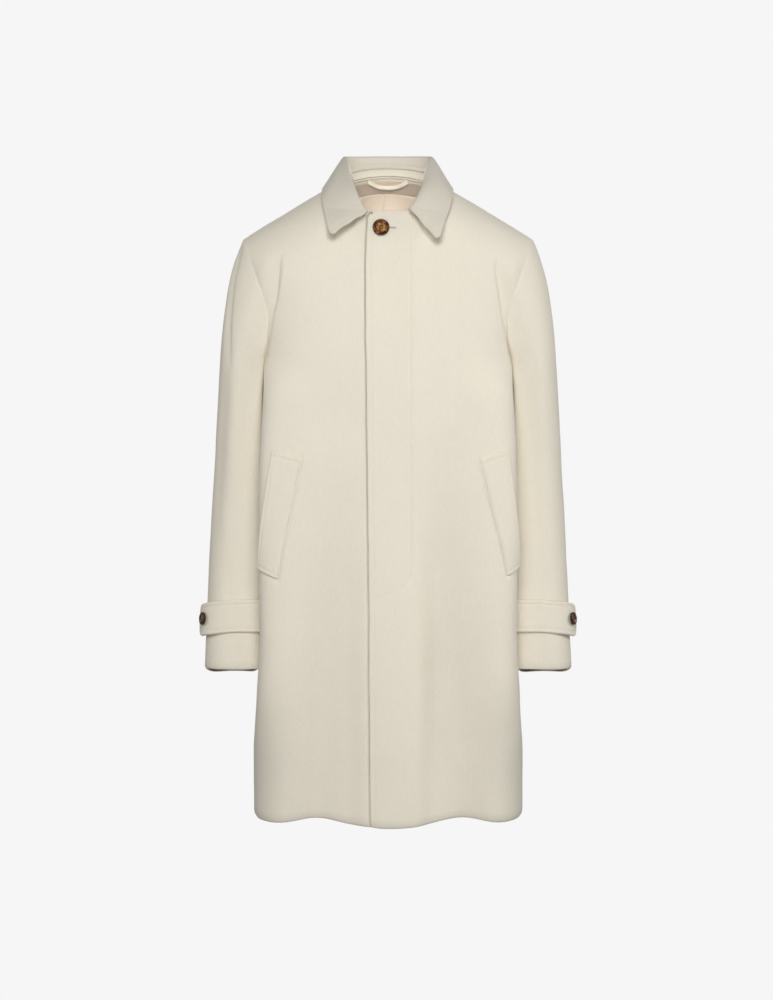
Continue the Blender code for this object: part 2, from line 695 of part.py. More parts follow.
# Pocket welts, from the front's points moved out
for pocket in POCKETS:
    lean = math.radians(pocket.lean)
    corner = arc_to(FRONT, pocket.x, pocket.z)
    net, normals = [], []
    for down in np.linspace(0.0, POCKET_LENGTH, POCKET_ROWS + 1):
        line = []
        for across in np.linspace(0.0, POCKET_WIDTH, POCKET_COLUMNS + 1):
            arc = corner + down * math.sin(lean) + across * math.cos(lean)
            z = pocket.z - down * math.cos(lean) + across * math.sin(lean)
            limit = section(FRONT, z)[2][-1] - SEAM_GAP
            line.append(surface(FRONT, pocket.side * min(arc, limit), z, POCKET_CLEAR))
        net.append([p for p, n in line])
        normals.append([n for p, n in line])
    net, normals = np.array(net), np.array(normals)
    wall(POCKET_NAMES[pocket.side], net + WELT_CLOTH * normals, net, wool)

# Sleeve straps and their buttons
for side, word in ((LEFT, "left"), (RIGHT, "right")):
    net, normals = [], []
    for share in np.linspace(0.0, 1.0, STRAP_COLUMNS + 1):
        turn = STRAP_FROM + (STRAP_TO - STRAP_FROM) * share
        tip = max((share - (1.0 - STRAP_ROUND)) / STRAP_ROUND, 0.0)
        half = STRAP_HALF * (1.0 - (1.0 - STRAP_END_WIDTH) * tip ** 2)
        loose = STRAP_LOOSE * ease((share - STRAP_LOOSE_FROM) / (1.0 - STRAP_LOOSE_FROM))
        line = []
        for across in np.linspace(half, -half, STRAP_ROWS + 1):
            z = STRAP_Z + across
            normal = arm_normal(side, turn, z)
            line.append((arm_point(side, turn, z) + normal * (STRAP_CLEAR + loose), normal))
        net.append([p for p, n in line])
        normals.append([n for p, n in line])
    net, normals = np.array(net), np.array(normals)
    wall(word + "_sleeve_strap", net + STRAP_CLOTH * normals, net, wool)
    turn = STRAP_FROM + (STRAP_TO - STRAP_FROM) * STRAP_BUTTON_AT
    loose = STRAP_LOOSE * ease((STRAP_BUTTON_AT - STRAP_LOOSE_FROM) / (1.0 - STRAP_LOOSE_FROM))
    normal = arm_normal(side, turn, STRAP_Z)
    off = STRAP_CLEAR + loose + STRAP_CLOTH + SEAM_GAP + STRAP_BUTTON.thick / 2
    turned_button(word + "_strap_button", STRAP_BUTTON, arm_point(side, turn, STRAP_Z) + normal * off,
                  normal, horn)

# Neck button
spot, normal = surface(FRONT, arc_to(FRONT, NECK_BUTTON_X, NECK_BUTTON_Z), NECK_BUTTON_Z, SHELL + FLY_GAP)
turned_button("neck_button", NECK_BUTTON, spot + normal * (NECK_BUTTON.thick / 2 + NECK_BUTTON_CLEAR),
              normal, horn)


# Back neck facing and lining, from the points of both backs moved in
def inside_back(rows, columns, off):
    """Net of both backs as one, from the wearer's right to the left."""
    nets = []
    for k in range(2):
        right = panels[BACK, RIGHT][k][rows, columns - 1:0:-1]
        nets.append(np.concatenate((right, panels[BACK, LEFT][k][rows, :columns]), axis=1))
    net, normals = nets
    net[:, columns - 1, 0] = 0.0
    return net - off * normals, normals


last = SKIRT_ROWS + CHEST_ROWS + 1
net, normals = inside_back(slice(last - FACING_ROWS - 1, last), NAPE_COLUMNS + 1, SHELL + SEAM_GAP)
net[0] += (net[1] - net[0]) * FACING_TRIM
net[-1] += (net[-2] - net[-1]) * FACING_TRIM
wall("back_neck_facing", net, net - FACING_CLOTH * normals, wool)
net, normals = inside_back(slice(SKIRT_ROWS - LINING_ROWS, last - FACING_ROWS),
                           NAPE_COLUMNS + SHOULDER_COLUMNS, SHELL + SEAM_GAP)
wall("back_lining", net, net - LINING_CLOTH * normals, satin)

# Hanger loop, standing off the facing between its sewn ends
path = bpy.data.curves.new("hanger_loop", "CURVE")
path.dimensions = "3D"
path.bevel_depth = LOOP_RADIUS
path.bevel_resolution = 2
path.use_fill_caps = True
line = path.splines.new("POLY")
shares = np.linspace(-1.0, 1.0, LOOP_STEPS + 1)
line.points.add(len(shares) - 1)
for point, share in zip(line.points, shares):
    slack = 1.0 - abs(share) ** LOOP_SLACK
    z = LOOP_Z - LOOP_SAG * slack
    off = SHELL + FACING_CLOTH + LOOP_RADIUS + LOOP_CLEAR + LOOP_OFF * ease(slack)
    p, n = surface(BACK, arc_to(BACK, LOOP_HALF * share, z), z, -off)
    point.co = (*p, 1.0)
add_object("hanger_loop", path, wool)
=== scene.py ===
import math

import bmesh
import bpy
import numpy as np
from mathutils import Matrix, Vector, noise
from mathutils.bvhtree import BVHTree
from mathutils.kdtree import KDTree


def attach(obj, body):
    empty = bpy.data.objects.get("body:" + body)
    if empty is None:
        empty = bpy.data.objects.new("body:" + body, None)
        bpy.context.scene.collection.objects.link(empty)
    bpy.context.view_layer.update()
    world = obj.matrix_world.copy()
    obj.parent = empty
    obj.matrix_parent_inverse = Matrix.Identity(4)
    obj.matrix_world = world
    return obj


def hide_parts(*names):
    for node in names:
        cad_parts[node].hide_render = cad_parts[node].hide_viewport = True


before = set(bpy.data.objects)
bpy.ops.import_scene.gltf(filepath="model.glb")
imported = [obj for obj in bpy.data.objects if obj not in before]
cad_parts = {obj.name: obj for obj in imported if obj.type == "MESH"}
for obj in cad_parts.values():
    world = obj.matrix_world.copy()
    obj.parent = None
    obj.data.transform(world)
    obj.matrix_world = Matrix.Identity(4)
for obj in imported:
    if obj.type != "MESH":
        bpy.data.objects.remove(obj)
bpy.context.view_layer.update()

scene = bpy.context.scene
scene.view_settings.view_transform = "Standard"
print("frame:", len(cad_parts), "nodes")


def meshFrom(name, bm):
    mesh = bpy.data.meshes.new(name)
    bm.to_mesh(mesh)
    bm.free()
    return mesh


# the photograph's view, a long way off and level with the coat's middle
view = dict(x=-0.0023, distance=3.2, z=-0.487, height=1.55, sensor=36.0, far=50.0)


def setCamera():
    data = bpy.data.cameras.new("photoView")
    data.sensor_fit = "VERTICAL"
    data.sensor_height = view["sensor"]
    data.lens = view["sensor"] * view["distance"] / view["height"]
    data.clip_end = view["far"]
    camera = bpy.data.objects.new("photoView", data)
    camera.location = (view["x"], -view["distance"], view["z"])
    camera.rotation_euler = (math.pi / 2, 0.0, 0.0)
    scene.collection.objects.link(camera)
    scene.camera = camera


studio = dict(
    pale=(0.922, 0.922, 0.922, 1.0), sky=(1.0, 0.978, 0.955, 1.0), ambient=0.21,
    floorZ=-1.45, floorSize=14.0,
    lamps=[  # name, place, aim, size, watts
        ("frontNear", (0.0, -1.5, 0.20), (0.0, 0.0, -1.15), 0.9, 12.6),
        ("frontHigh", (0.0, -2.4, 1.2), (0.0, 0.0, -0.35), 0.9, 8.0),
        ("frontLow", (0.0, -1.7, -1.05), (0.0, 0.0, -0.85), 0.9, 6.4),
        ("leftSide", (-2.2, -0.3, 0.2), (0.0, 0.0, -0.4), 1.4, 10.5),
        ("rightSide", (2.2, -0.3, 0.2), (0.0, 0.0, -0.4), 1.4, 18.0),
        ("backNear", (0.0, 1.7, 0.10), (0.0, 0.0, -1.00), 1.1, 15.0),
        ("backLow", (0.0, 1.8, -1.05), (0.0, 0.0, -0.80), 0.9, 5.0),
        ("neckWide", (0.0, -0.070, -0.012), (0.0, 0.090, -0.006), 0.06, 0.064),
        ("neckLow", (0.0, -0.075, -0.006), (0.0, 0.090, -0.036), 0.05, 0.008),
    ],
    narrow=dict(neckLow=45.0),  # spread in degrees, to keep off the collar
    # these would whiten the buttons
    unreflected=("frontNear", "frontHigh", "frontLow", "neckWide", "neckLow"))


def setStudio():
    world = bpy.data.worlds.new("paleStudio")
    world.use_nodes = True
    nodes, links = world.node_tree.nodes, world.node_tree.links
    back = nodes["Background"]
    back.inputs["Color"].default_value = studio["sky"]
    back.inputs["Strength"].default_value = studio["ambient"]
    seen = nodes.new("ShaderNodeBackground")
    seen.inputs["Color"].default_value = studio["pale"]
    rays = nodes.new("ShaderNodeLightPath")
    pick = nodes.new("ShaderNodeMixShader")
    links.new(rays.outputs["Is Camera Ray"], pick.inputs[0])
    links.new(back.outputs[0], pick.inputs[1])
    links.new(seen.outputs[0], pick.inputs[2])
    links.new(pick.outputs[0], nodes["World Output"].inputs["Surface"])
    scene.world = world
    for name, place, aim, size, watts in studio["lamps"]:
        lamp = bpy.data.lights.new(name, "AREA")
        lamp.shape = "DISK"
        lamp.size = size
        lamp.energy = watts
        lamp.spread = math.radians(studio["narrow"].get(name, 180.0))
        made = bpy.data.objects.new(name, lamp)
        made.location = place
        made.rotation_euler = (Vector(aim) - Vector(place)).to_track_quat("-Z", "Y").to_euler()
        made.visible_camera = False
        made.visible_glossy = name not in studio["unreflected"]
        scene.collection.objects.link(made)
    bm = bmesh.new()
    bmesh.ops.create_grid(bm, x_segments=2, y_segments=2, size=studio["floorSize"] / 2,
                          matrix=Matrix.Translation((0.0, 0.0, studio["floorZ"])))
    mesh = meshFrom("paleFloor", bm)
    floor = bpy.data.objects.new("paleFloor", mesh)
    scene.collection.objects.link(floor)
    paint = bpy.data.materials.new("paleFloor")
    paint.use_nodes = True
    glow = paint.node_tree.nodes.new("ShaderNodeEmission")
    glow.inputs["Color"].default_value = studio["pale"]
    paint.node_tree.links.new(glow.outputs[0], paint.node_tree.nodes["Material Output"].inputs["Surface"])
    mesh.materials.append(paint)
    floor.visible_diffuse = False
    floor.visible_glossy = False


setCamera()
setStudio()
print("camera, light and floor set")


# a pattern laid by place, which gives a shade and a height
def shaderGroup(name, inputs):
    group = bpy.data.node_groups.new(name, "ShaderNodeTree")
    group.interface.new_socket(name="Vector", in_out="INPUT", socket_type="NodeSocketVector")
    for label, value in inputs.items():
        socket = group.interface.new_socket(name=label, in_out="INPUT", socket_type="NodeSocketFloat")
        socket.default_value = value
    for label in ("Shade", "Height"):
        group.interface.new_socket(name=label, in_out="OUTPUT", socket_type="NodeSocketFloat")
    return group, group.nodes.new("NodeGroupInput"), group.nodes.new("NodeGroupOutput")


def mathNode(tree, operation, first, second):
    node = tree.nodes.new("ShaderNodeMath")
    node.operation = operation
    for socket, value in zip(node.inputs, (first, second)):
        if isinstance(value, (int, float)):
            socket.default_value = value
        else:
            tree.links.new(value, socket)
    return node.outputs[0]


def noiseNode(tree, vector, scale, detail, roughness=0.55):
    node = tree.nodes.new("ShaderNodeTexNoise")
    node.inputs["Detail"].default_value = detail
    node.inputs["Roughness"].default_value = roughness
    if isinstance(scale, (int, float)):
        node.inputs["Scale"].default_value = scale
    else:
        tree.links.new(scale, node.inputs["Scale"])
    tree.links.new(vector, node.inputs["Vector"])
    return node.outputs["Fac"]


def stretched(tree, vector, scale):
    node = tree.nodes.new("ShaderNodeMapping")
    node.inputs["Scale"].default_value = scale
    tree.links.new(vector, node.inputs["Vector"])
    return node.outputs["Vector"]


# one, made lighter and darker by each field as much as its input says
def shaded(group, given, *fields):
    shade = 1.0
    for field, amount in fields:
        centred = mathNode(group, "SUBTRACT", field, 0.5)
        shade = mathNode(group, "ADD", mathNode(group, "MULTIPLY", centred, given.outputs[amount]), shade)
    return shade


# felted nap: brushed fibres running down, small clumps and a slow change of shade
napForm = dict(stretch=(1.0, 1.0, 0.30), clump=330.0, slow=17.0, fibreHeight=0.55, clumpHeight=0.45,
               inputs={"Fibre": 1300.0, "Fibre Shade": 0.10, "Clump Shade": 0.08, "Slow Shade": 0.04})


def makeNap():
    group, given, out = shaderGroup("feltedNap", napForm["inputs"])
    brushed = stretched(group, given.outputs["Vector"], napForm["stretch"])
    fibre = noiseNode(group, brushed, given.outputs["Fibre"], 3.0, 0.62)
    clump = noiseNode(group, brushed, napForm["clump"], 2.0)
    slow = noiseNode(group, given.outputs["Vector"], napForm["slow"], 2.0)
    shade = shaded(group, given, (fibre, "Fibre Shade"), (clump, "Clump Shade"), (slow, "Slow Shade"))
    height = mathNode(group, "ADD", mathNode(group, "MULTIPLY", fibre, napForm["fibreHeight"]),
                      mathNode(group, "MULTIPLY", clump, napForm["clumpHeight"]))
    group.links.new(shade, out.inputs["Shade"])
    group.links.new(height, out.inputs["Height"])
    return group


# twill or satin ribs, for lining and thread
ribForm = dict(distortion=1.2, detail=2.0, cloud=60.0,
               inputs={"Ribs": 700.0, "Rib Shade": 0.08, "Cloud Shade": 0.10})


def makeRibs():
    group, given, out = shaderGroup("fineRibs", ribForm["inputs"])
    wave = group.nodes.new("ShaderNodeTexWave")
    wave.bands_direction = "X"
    wave.inputs["Distortion"].default_value = ribForm["distortion"]
    wave.inputs["Detail"].default_value = ribForm["detail"]
    group.links.new(given.outputs["Ribs"], wave.inputs["Scale"])
    group.links.new(given.outputs["Vector"], wave.inputs["Vector"])
    cloud = noiseNode(group, given.outputs["Vector"], ribForm["cloud"], 3.0)
    shade = shaded(group, given, (wave.outputs["Fac"], "Rib Shade"), (cloud, "Cloud Shade"))
    group.links.new(shade, out.inputs["Shade"])
    group.links.new(wave.outputs["Fac"], out.inputs["Height"])
    return group


napGroup = makeNap()
ribGroup = makeRibs()


def newFinish(name, **constant):
    made = bpy.data.materials.new(name)
    made.use_nodes = True
    tree = made.node_tree
    shader = tree.nodes["Principled BSDF"]
    for label, value in constant.items():
        shader.inputs[label.replace("_", " ")].default_value = value
    return made, tree, shader, tree.nodes.new("ShaderNodeTexCoord")


def finish(name, colour, roughness, group, values, bump, bumpDepth, **constant):
    made, tree, shader, where = newFinish(name, Roughness=roughness, **constant)
    nap = tree.nodes.new("ShaderNodeGroup")
    nap.node_tree = group
    for label, value in values.items():
        nap.inputs[label].default_value = value
    tree.links.new(where.outputs["Object"], nap.inputs["Vector"])
    tint = tree.nodes.new("ShaderNodeMix")
    tint.data_type = "RGBA"
    tint.blend_type = "MULTIPLY"
    tint.inputs["Factor"].default_value = 1.0
    for socket in tint.inputs:
        if socket.name == "A" and socket.type == "RGBA":
            socket.default_value = (*colour, 1.0)
        if socket.name == "B" and socket.type == "RGBA":
            tree.links.new(nap.outputs["Shade"], socket)
    shown = [s for s in tint.outputs if s.type == "RGBA"][0]
    tree.links.new(shown, shader.inputs["Base Color"])
    relief = tree.nodes.new("ShaderNodeBump")
    relief.inputs["Strength"].default_value = bump
    relief.inputs["Distance"].default_value = bumpDepth
    tree.links.new(nap.outputs["Height"], relief.inputs["Height"])
    tree.links.new(relief.outputs["Normal"], shader.inputs["Normal"])
    return made


woolSheen = dict(Sheen_Weight=0.16, Sheen_Roughness=0.45, Specular_IOR_Level=0.20)
wool = finish("creamWool", (0.786, 0.735, 0.623), 0.92, napGroup, {}, 0.30, 0.0006, **woolSheen)
# a darker copy of the cream wool: painted shade that darkens the collar
collarWoolPaintedShade = finish("collarWoolPaintedShade", (0.660, 0.618, 0.528), 0.92, napGroup, {}, 0.30, 0.0006, **woolSheen)
facingWool = finish("facingWool", (0.760, 0.640, 0.515), 0.92, napGroup, {"Slow Shade": 0.08}, 0.30, 0.0006,
                    Sheen_Weight=0.10, Sheen_Roughness=0.45, Specular_IOR_Level=0.20)
satin = finish("peachSatin", (0.930, 0.780, 0.630), 0.42, ribGroup, {"Ribs": 420.0}, 0.10, 0.0002,
               Sheen_Weight=0.10, Specular_IOR_Level=0.45)
# the sleeves' satin lining; its dark brown tone is painted shade for the insides of the cuffs
sleeveSatin = finish("sleeveSatin", (0.200, 0.165, 0.135), 0.45, ribGroup, {"Ribs": 420.0}, 0.10, 0.0002,
                     Specular_IOR_Level=0.40)
thread = finish("creamThread", (0.760, 0.700, 0.590), 0.70, ribGroup,
                {"Ribs": 1500.0, "Rib Shade": 0.16}, 0.20, 0.0001, Specular_IOR_Level=0.30)
brownThread = finish("brownThread", (0.120, 0.066, 0.030), 0.70, ribGroup,
                     {"Ribs": 1500.0, "Rib Shade": 0.20}, 0.20, 0.0001, Specular_IOR_Level=0.30)

tortoiseLook = dict(surface=dict(Roughness=0.22, Coat_Weight=0.20, Coat_Roughness=0.08), mottle=210.0,
                    rimFall=-0.34, lift=0.22,
                    shades=[(0.36, (0.030, 0.011, 0.004)), (0.52, (0.17, 0.062, 0.014)),
                            (0.70, (0.47, 0.225, 0.054))])  # from the rim to the clear middle


def tortoiseshell():
    look = tortoiseLook
    made, tree, shader, where = newFinish("tortoiseshell", **look["surface"])
    mottle = noiseNode(tree, where.outputs["Object"], look["mottle"], 3.0, 0.6)
    rim = tree.nodes.new("ShaderNodeAttribute")
    rim.attribute_name = "rimShare"
    fall = mathNode(tree, "MULTIPLY", rim.outputs["Fac"], look["rimFall"])
    spread = mathNode(tree, "ADD", mathNode(tree, "ADD", mottle, fall), look["lift"])
    ramp = tree.nodes.new("ShaderNodeValToRGB")
    dark, middle, clear = look["shades"]
    for element, (place, colour) in zip(ramp.color_ramp.elements, (dark, clear)):
        element.position = place
        element.color = (*colour, 1.0)
    ramp.color_ramp.elements.new(middle[0]).color = (*middle[1], 1.0)
    tree.links.new(spread, ramp.inputs["Fac"])
    tree.links.new(ramp.outputs["Color"], shader.inputs["Base Color"])
    return made


tortoise = tortoiseshell()
print("finishes made")

clothRules = dict(weld=0.00001, rim=0.0007, rimSegments=2, wave=0.0009, waveLength=0.085, ripple=0.45,
                  rippleTimes=2.3, seed=5, near=0.03, rollSpread=0.36, grooveWide=0.0022, rimAngle=55.0)
noise.seed_set(clothRules["seed"])  # without it the noise follows the clock
bodyAxis = Vector((0.0, 0.005, 0.0))
neckAxis = Vector((0.0, -0.010, 0.0))
armPlace = (0.235, 0.008)
bothSides = (("left", 1), ("right", -1))


def ease(x):
    x = np.clip(x, 0.0, 1.0)
    return x * x * (3 - 2 * x)


def bell(x, wide):
    return np.exp(-((x / wide) ** 2))


def awayFrom(axis, sign=1.0):
    return lambda p: sign * Vector((p.x - axis.x, p.y - axis.y, 0.0))


def solidOf(node):
    bm = bmesh.new()
    bm.from_mesh(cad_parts[node].data)
    bmesh.ops.remove_doubles(bm, verts=bm.verts, dist=clothRules["weld"])
    return bm


# the side of a cloth wall that shows, as a net of quads: faces with an edge as long as the wall is
# thick are its rim, and without them the wall falls into its two sides
def showingSide(node, outward, thick, match):
    bm = solidOf(node)
    bm.normal_update()
    seen = set()
    for face in bm.faces:
        if any(abs(edge.calc_length() / thick - 1.0) < match for edge in face.edges):
            seen.add(face)
    best = (-1.0, [])
    for start in bm.faces:
        if start in seen:
            continue
        seen.add(start)
        side, score = [start], 0.0
        for face in side:
            score += face.calc_area() * face.normal.dot(outward(face.calc_center_median()))
            for edge in face.edges:
                fresh = [f for f in edge.link_faces if f not in seen]
                seen.update(fresh)
                side.extend(fresh)
        if score > best[0]:
            best = (score, side)
    kept = set(best[1])
    bmesh.ops.delete(bm, geom=[f for f in bm.faces if f not in kept], context="FACES")
    return bm


def freeNeighbours(vert):
    return [edge.other_vert(vert) for edge in vert.link_edges if edge.is_boundary]


# the rows of a triangulated net, read off from one of its sides
def netRows(bm):
    bm.verts.index_update()
    joined = bm.copy()
    bmesh.ops.join_triangles(joined, faces=joined.faces, angle_face_threshold=math.pi,
                             angle_shape_threshold=math.pi, topology_influence=1.0)
    corners = {v.index for v in joined.verts if len(v.link_edges) == 2}
    joined.free()
    bm.verts.ensure_lookup_table()
    row = [bm.verts[min(corners)]]
    row.append(freeNeighbours(row[0])[0])
    while row[-1].index not in corners:
        row.append([v for v in freeNeighbours(row[-1]) if v is not row[-2]][0])
    rows, used = [row], set(row)
    while True:
        fresh = {edge.other_vert(v) for v in row for edge in v.link_edges} - used
        if not fresh:
            return rows
        row = [v for v in freeNeighbours(row[0]) if v in fresh]
        while len(row) < len(fresh):
            row.append([e.other_vert(row[-1]) for e in row[-1].link_edges
                        if e.other_vert(row[-1]) in fresh and e.other_vert(row[-1]) not in row][0])
        rows.append(row)
        used.update(fresh)


def quadNet(node, outward, thick, match):
    walls = showingSide(node, outward, thick, match)
    net = bmesh.new()
    rows = [[net.verts.new(v.co) for v in row] for row in netRows(walls)]
    walls.free()
    for low, high in zip(rows, rows[1:]):
        for k in range(len(low) - 1):
            net.faces.new((low[k], low[k + 1], high[k + 1], high[k]))
    net.normal_update()
    if sum(f.calc_area() * f.normal.dot(outward(f.calc_center_median())) for f in net.faces) < 0:
        bmesh.ops.reverse_faces(net, faces=net.faces)
    return net


def evaluated(name, mesh, *modifiers):
    made = bpy.data.objects.new(name, mesh)
    scene.collection.objects.link(made)
    for kind, values in modifiers:
        added = made.modifiers.new(kind.lower(), kind)
        for label, value in values.items():
            setattr(added, label, value)
    graph = bpy.context.evaluated_depsgraph_get()
    result = bpy.data.meshes.new_from_object(made.evaluated_get(graph))
    bpy.data.objects.remove(made)
    return result


class Sheet:
    pass


def fetched(rows, label, width, kind=float):
    values = np.empty(len(rows) * width, dtype=kind)
    rows.foreach_get(label, values)
    return values.reshape(-1, width)


def points(mesh):
    return fetched(mesh.vertices, "co", 3)


def edgePairs(mesh):
    return fetched(mesh.edges, "vertices", 2, np.int64)


def loopEdges(mesh):
    return fetched(mesh.loops, "edge_index", 1, np.int64).ravel()


# moves a sheet's points; what shift had gathered is done with
def setPoints(sheet, co):
    sheet.co = co
    sheet.mesh.vertices.foreach_set("co", co.ravel())
    sheet.mesh.update()
    sheet.normal = fetched(sheet.mesh.vertex_normals, "vector", 3)
    sheet.shift = np.zeros((len(co), 3))


def linked(pairs):
    beside = {}
    for a, b in pairs:
        beside.setdefault(int(a), []).append(int(b))
        beside.setdefault(int(b), []).append(int(a))
    return beside


# the four sides of a net, from corner to corner round its free edge
def netSides(mesh):
    pairs = edgePairs(mesh)
    used = np.bincount(loopEdges(mesh), minlength=len(pairs))
    valence = np.bincount(pairs.ravel(), minlength=len(mesh.vertices))
    beside = linked(pairs[used == 1])
    corners = [v for v in beside if valence[v] == 2]
    sides = []
    for corner in corners:
        for step in beside[corner]:
            line = [corner, step]
            while line[-1] not in corners:
                line.append([v for v in beside[line[-1]] if v != line[-2]][0])
            if line[::-1] not in sides:
                sides.append(line)
    return sides


def makeSheet(node, outward, level, thick, match=0.003):
    sheet = Sheet()
    sheet.node = node
    sheet.thick = thick
    coarse = meshFrom(node, quadNet(node, outward, thick, match))
    finer = dict(levels=level, render_levels=level, boundary_smooth="PRESERVE_CORNERS")
    sheet.mesh = evaluated(node, coarse, ("SUBSURF", finer))
    bpy.data.meshes.remove(coarse)
    setPoints(sheet, points(sheet.mesh))
    sheet.sides = netSides(sheet.mesh)
    return sheet


# a side of the net, picked by a point near its middle
def sideNear(sheet, *near):
    return [min(sheet.sides, key=lambda line: np.linalg.norm(sheet.co[line].mean(axis=0) - np.array(p)))
            for p in near]


# how far each point lies from some paths, and where on them it is nearest
def distanceTo(sheet, paths, reach, seen=(1.0, 1.0, 1.0)):
    co = sheet.co * np.array(seen)
    dense = []
    for path in paths:
        path = path * np.array(seen)
        for share in (0.0, 0.25, 0.5, 0.75):
            dense.append(path[:-1] * (1 - share) + path[1:] * share)
        dense.append(path[-1:])
    dense = np.concatenate(dense)
    tree = KDTree(len(dense))
    for k, p in enumerate(dense):
        tree.insert(p, k)
    tree.balance()
    field, nearest = np.full(len(co), reach * 4), co.copy()
    low, high = dense.min(axis=0) - reach, dense.max(axis=0) + reach
    for k in np.nonzero(np.all((co > low) & (co < high), axis=1))[0]:
        nearest[k], _, field[k] = tree.find(co[k])
    return field, nearest


def pathsOf(sheet, sides):
    return [sheet.co[line] for line in sides]


def sideField(sheet, sides, reach=clothRules["near"]):
    return distanceTo(sheet, pathsOf(sheet, sides), reach)[0]


# finer cloth beside lines that are sewn or pressed into it
def refine(sheet, paths, reach, cuts):
    field, _ = distanceTo(sheet, paths, reach)
    bm = bmesh.new()
    bm.from_mesh(sheet.mesh)
    close = [e for e in bm.edges if max(field[v.index] for v in e.verts) < reach]
    bmesh.ops.subdivide_edges(bm, edges=close, cuts=cuts, use_grid_fill=True)
    bm.to_mesh(sheet.mesh)
    bm.free()
    setPoints(sheet, points(sheet.mesh))


# draws the net's rows in towards a free edge, so that it can roll over finely
def crowd(sheet, sides, reach, power=2.0):
    field, nearest = distanceTo(sheet, pathsOf(sheet, sides), reach)
    close = (field > 0.0) & (field < reach)
    share = (field[close] / reach) ** (power - 1)
    co = sheet.co.copy()
    co[close] = nearest[close] + (co[close] - nearest[close]) * share[:, None]
    setPoints(sheet, co)


# draws a square corner in to a round one
def roundCorner(sheet, near, radius):
    corners = {line[0] for line in sheet.sides} | {line[-1] for line in sheet.sides}
    corner = min(corners, key=lambda v: np.linalg.norm(sheet.co[v] - np.array(near)))
    ways = []
    for line in sheet.sides:
        if corner in (line[0], line[-1]):
            path = sheet.co[line if line[0] == corner else line[::-1]]
            far = path[np.argmax(np.linalg.norm(path - path[0], axis=1) > radius)]
            ways.append((far - path[0]) / np.linalg.norm(far - path[0]))
    frameOf = np.array([ways[0], ways[1], np.cross(ways[0], ways[1])]).T
    local = np.linalg.solve(frameOf, (sheet.co - sheet.co[corner]).T).T
    inside = np.linalg.norm(sheet.co - sheet.co[corner], axis=1) < radius * 2.5
    inside &= (local[:, 0] < radius) & (local[:, 1] < radius)
    u = np.clip(1.0 - local[inside, 0] / radius, 0.0, 1.0)
    v = np.clip(1.0 - local[inside, 1] / radius, 0.0, 1.0)
    local[inside, 0] = radius * (1.0 - u * np.sqrt(1.0 - v * v / 2))
    local[inside, 1] = radius * (1.0 - v * np.sqrt(1.0 - u * u / 2))
    co = sheet.co.copy()
    co[inside] = sheet.co[corner] + local[inside] @ frameOf.T
    setPoints(sheet, co)


# chains of crossings where a field over the net passes a value
def contour(sheet, field, value):
    pairs = edgePairs(sheet.mesh)
    first, second = field[pairs[:, 0]] - value, field[pairs[:, 1]] - value
    cut = (first < 0) != (second < 0)
    share = np.zeros(len(pairs))
    share[cut] = first[cut] / (first[cut] - second[cut])
    loops = loopEdges(sheet.mesh)
    crossed = []
    for face in sheet.mesh.polygons:
        edges = loops[face.loop_start:face.loop_start + face.loop_total]
        crossed.append(edges[cut[edges]])
    beside = linked(pair for pair in crossed if len(pair) == 2)
    chains, left = [], set(beside)
    for start in sorted(beside, key=lambda k: len(beside[k])):
        if start not in left:
            continue
        chain = [start]
        left.discard(start)
        while True:
            onward = [k for k in beside[chain[-1]] if k in left]
            if not onward:
                break
            chain.append(onward[0])
            left.discard(onward[0])
        if len(chain) > 6:
            chains.append([(pairs[k, 0], pairs[k, 1], share[k]) for k in chain])
    return chains


def soften(rows, times):
    for _ in range(times):
        rows[1:-1] = (rows[:-2] + 2 * rows[1:-1] + rows[2:]) / 4


def lengthsAlong(rows):
    return np.concatenate(([0.0], np.cumsum(np.linalg.norm(np.diff(rows, axis=0), axis=1))))


def pointAt(rows, steps, at):
    return Vector([np.interp(at, steps, column) for column in rows.T])


def smoothPath(rows, count):
    rows = np.array(rows, dtype=float)
    length = lengthsAlong(rows[:, :2])
    at = np.linspace(0.0, length[-1], count)
    path = np.array([np.interp(at, length, column) for column in rows.T]).T
    soften(path, 6)
    return path


castFrom = dict(front=((0, 1, 0), (0, -1, 2)), back=((0, -1, 0), (0, 1, 2)),
                left=((-1, 0, 0), (1, 0, 2)), right=((1, 0, 0), (-1, 0, 2)))


# rows of place across and height, laid on the cloth from one side; gives places, facings and the row's rest
def projected(rows, seen, trees, count=48):
    path = smoothPath(rows, count)
    direction, start = castFrom[seen]
    found = []
    for across, z, *rest in path:
        origin = Vector((across, start[1], z)) if start[0] == 0 else Vector((start[0], across, z))
        hits = [tree.ray_cast(origin, Vector(direction)) for tree in trees]
        hits = [h for h in hits if h[0] is not None]
        if hits:
            hit = min(hits, key=lambda h: h[3])
            facing = hit[1] if hit[1].dot(Vector(direction)) < 0 else -hit[1]
            found.append((*hit[0], *facing, *rest))
    return np.array(found)


def treeOf(sheet):
    faces = [tuple(p.vertices) for p in sheet.mesh.polygons]
    return BVHTree.FromPolygons([tuple(p) for p in sheet.co], faces)


creaseRules = dict(least=8, softening=10, reach=4, swellAt=1.7, endsAt=3)


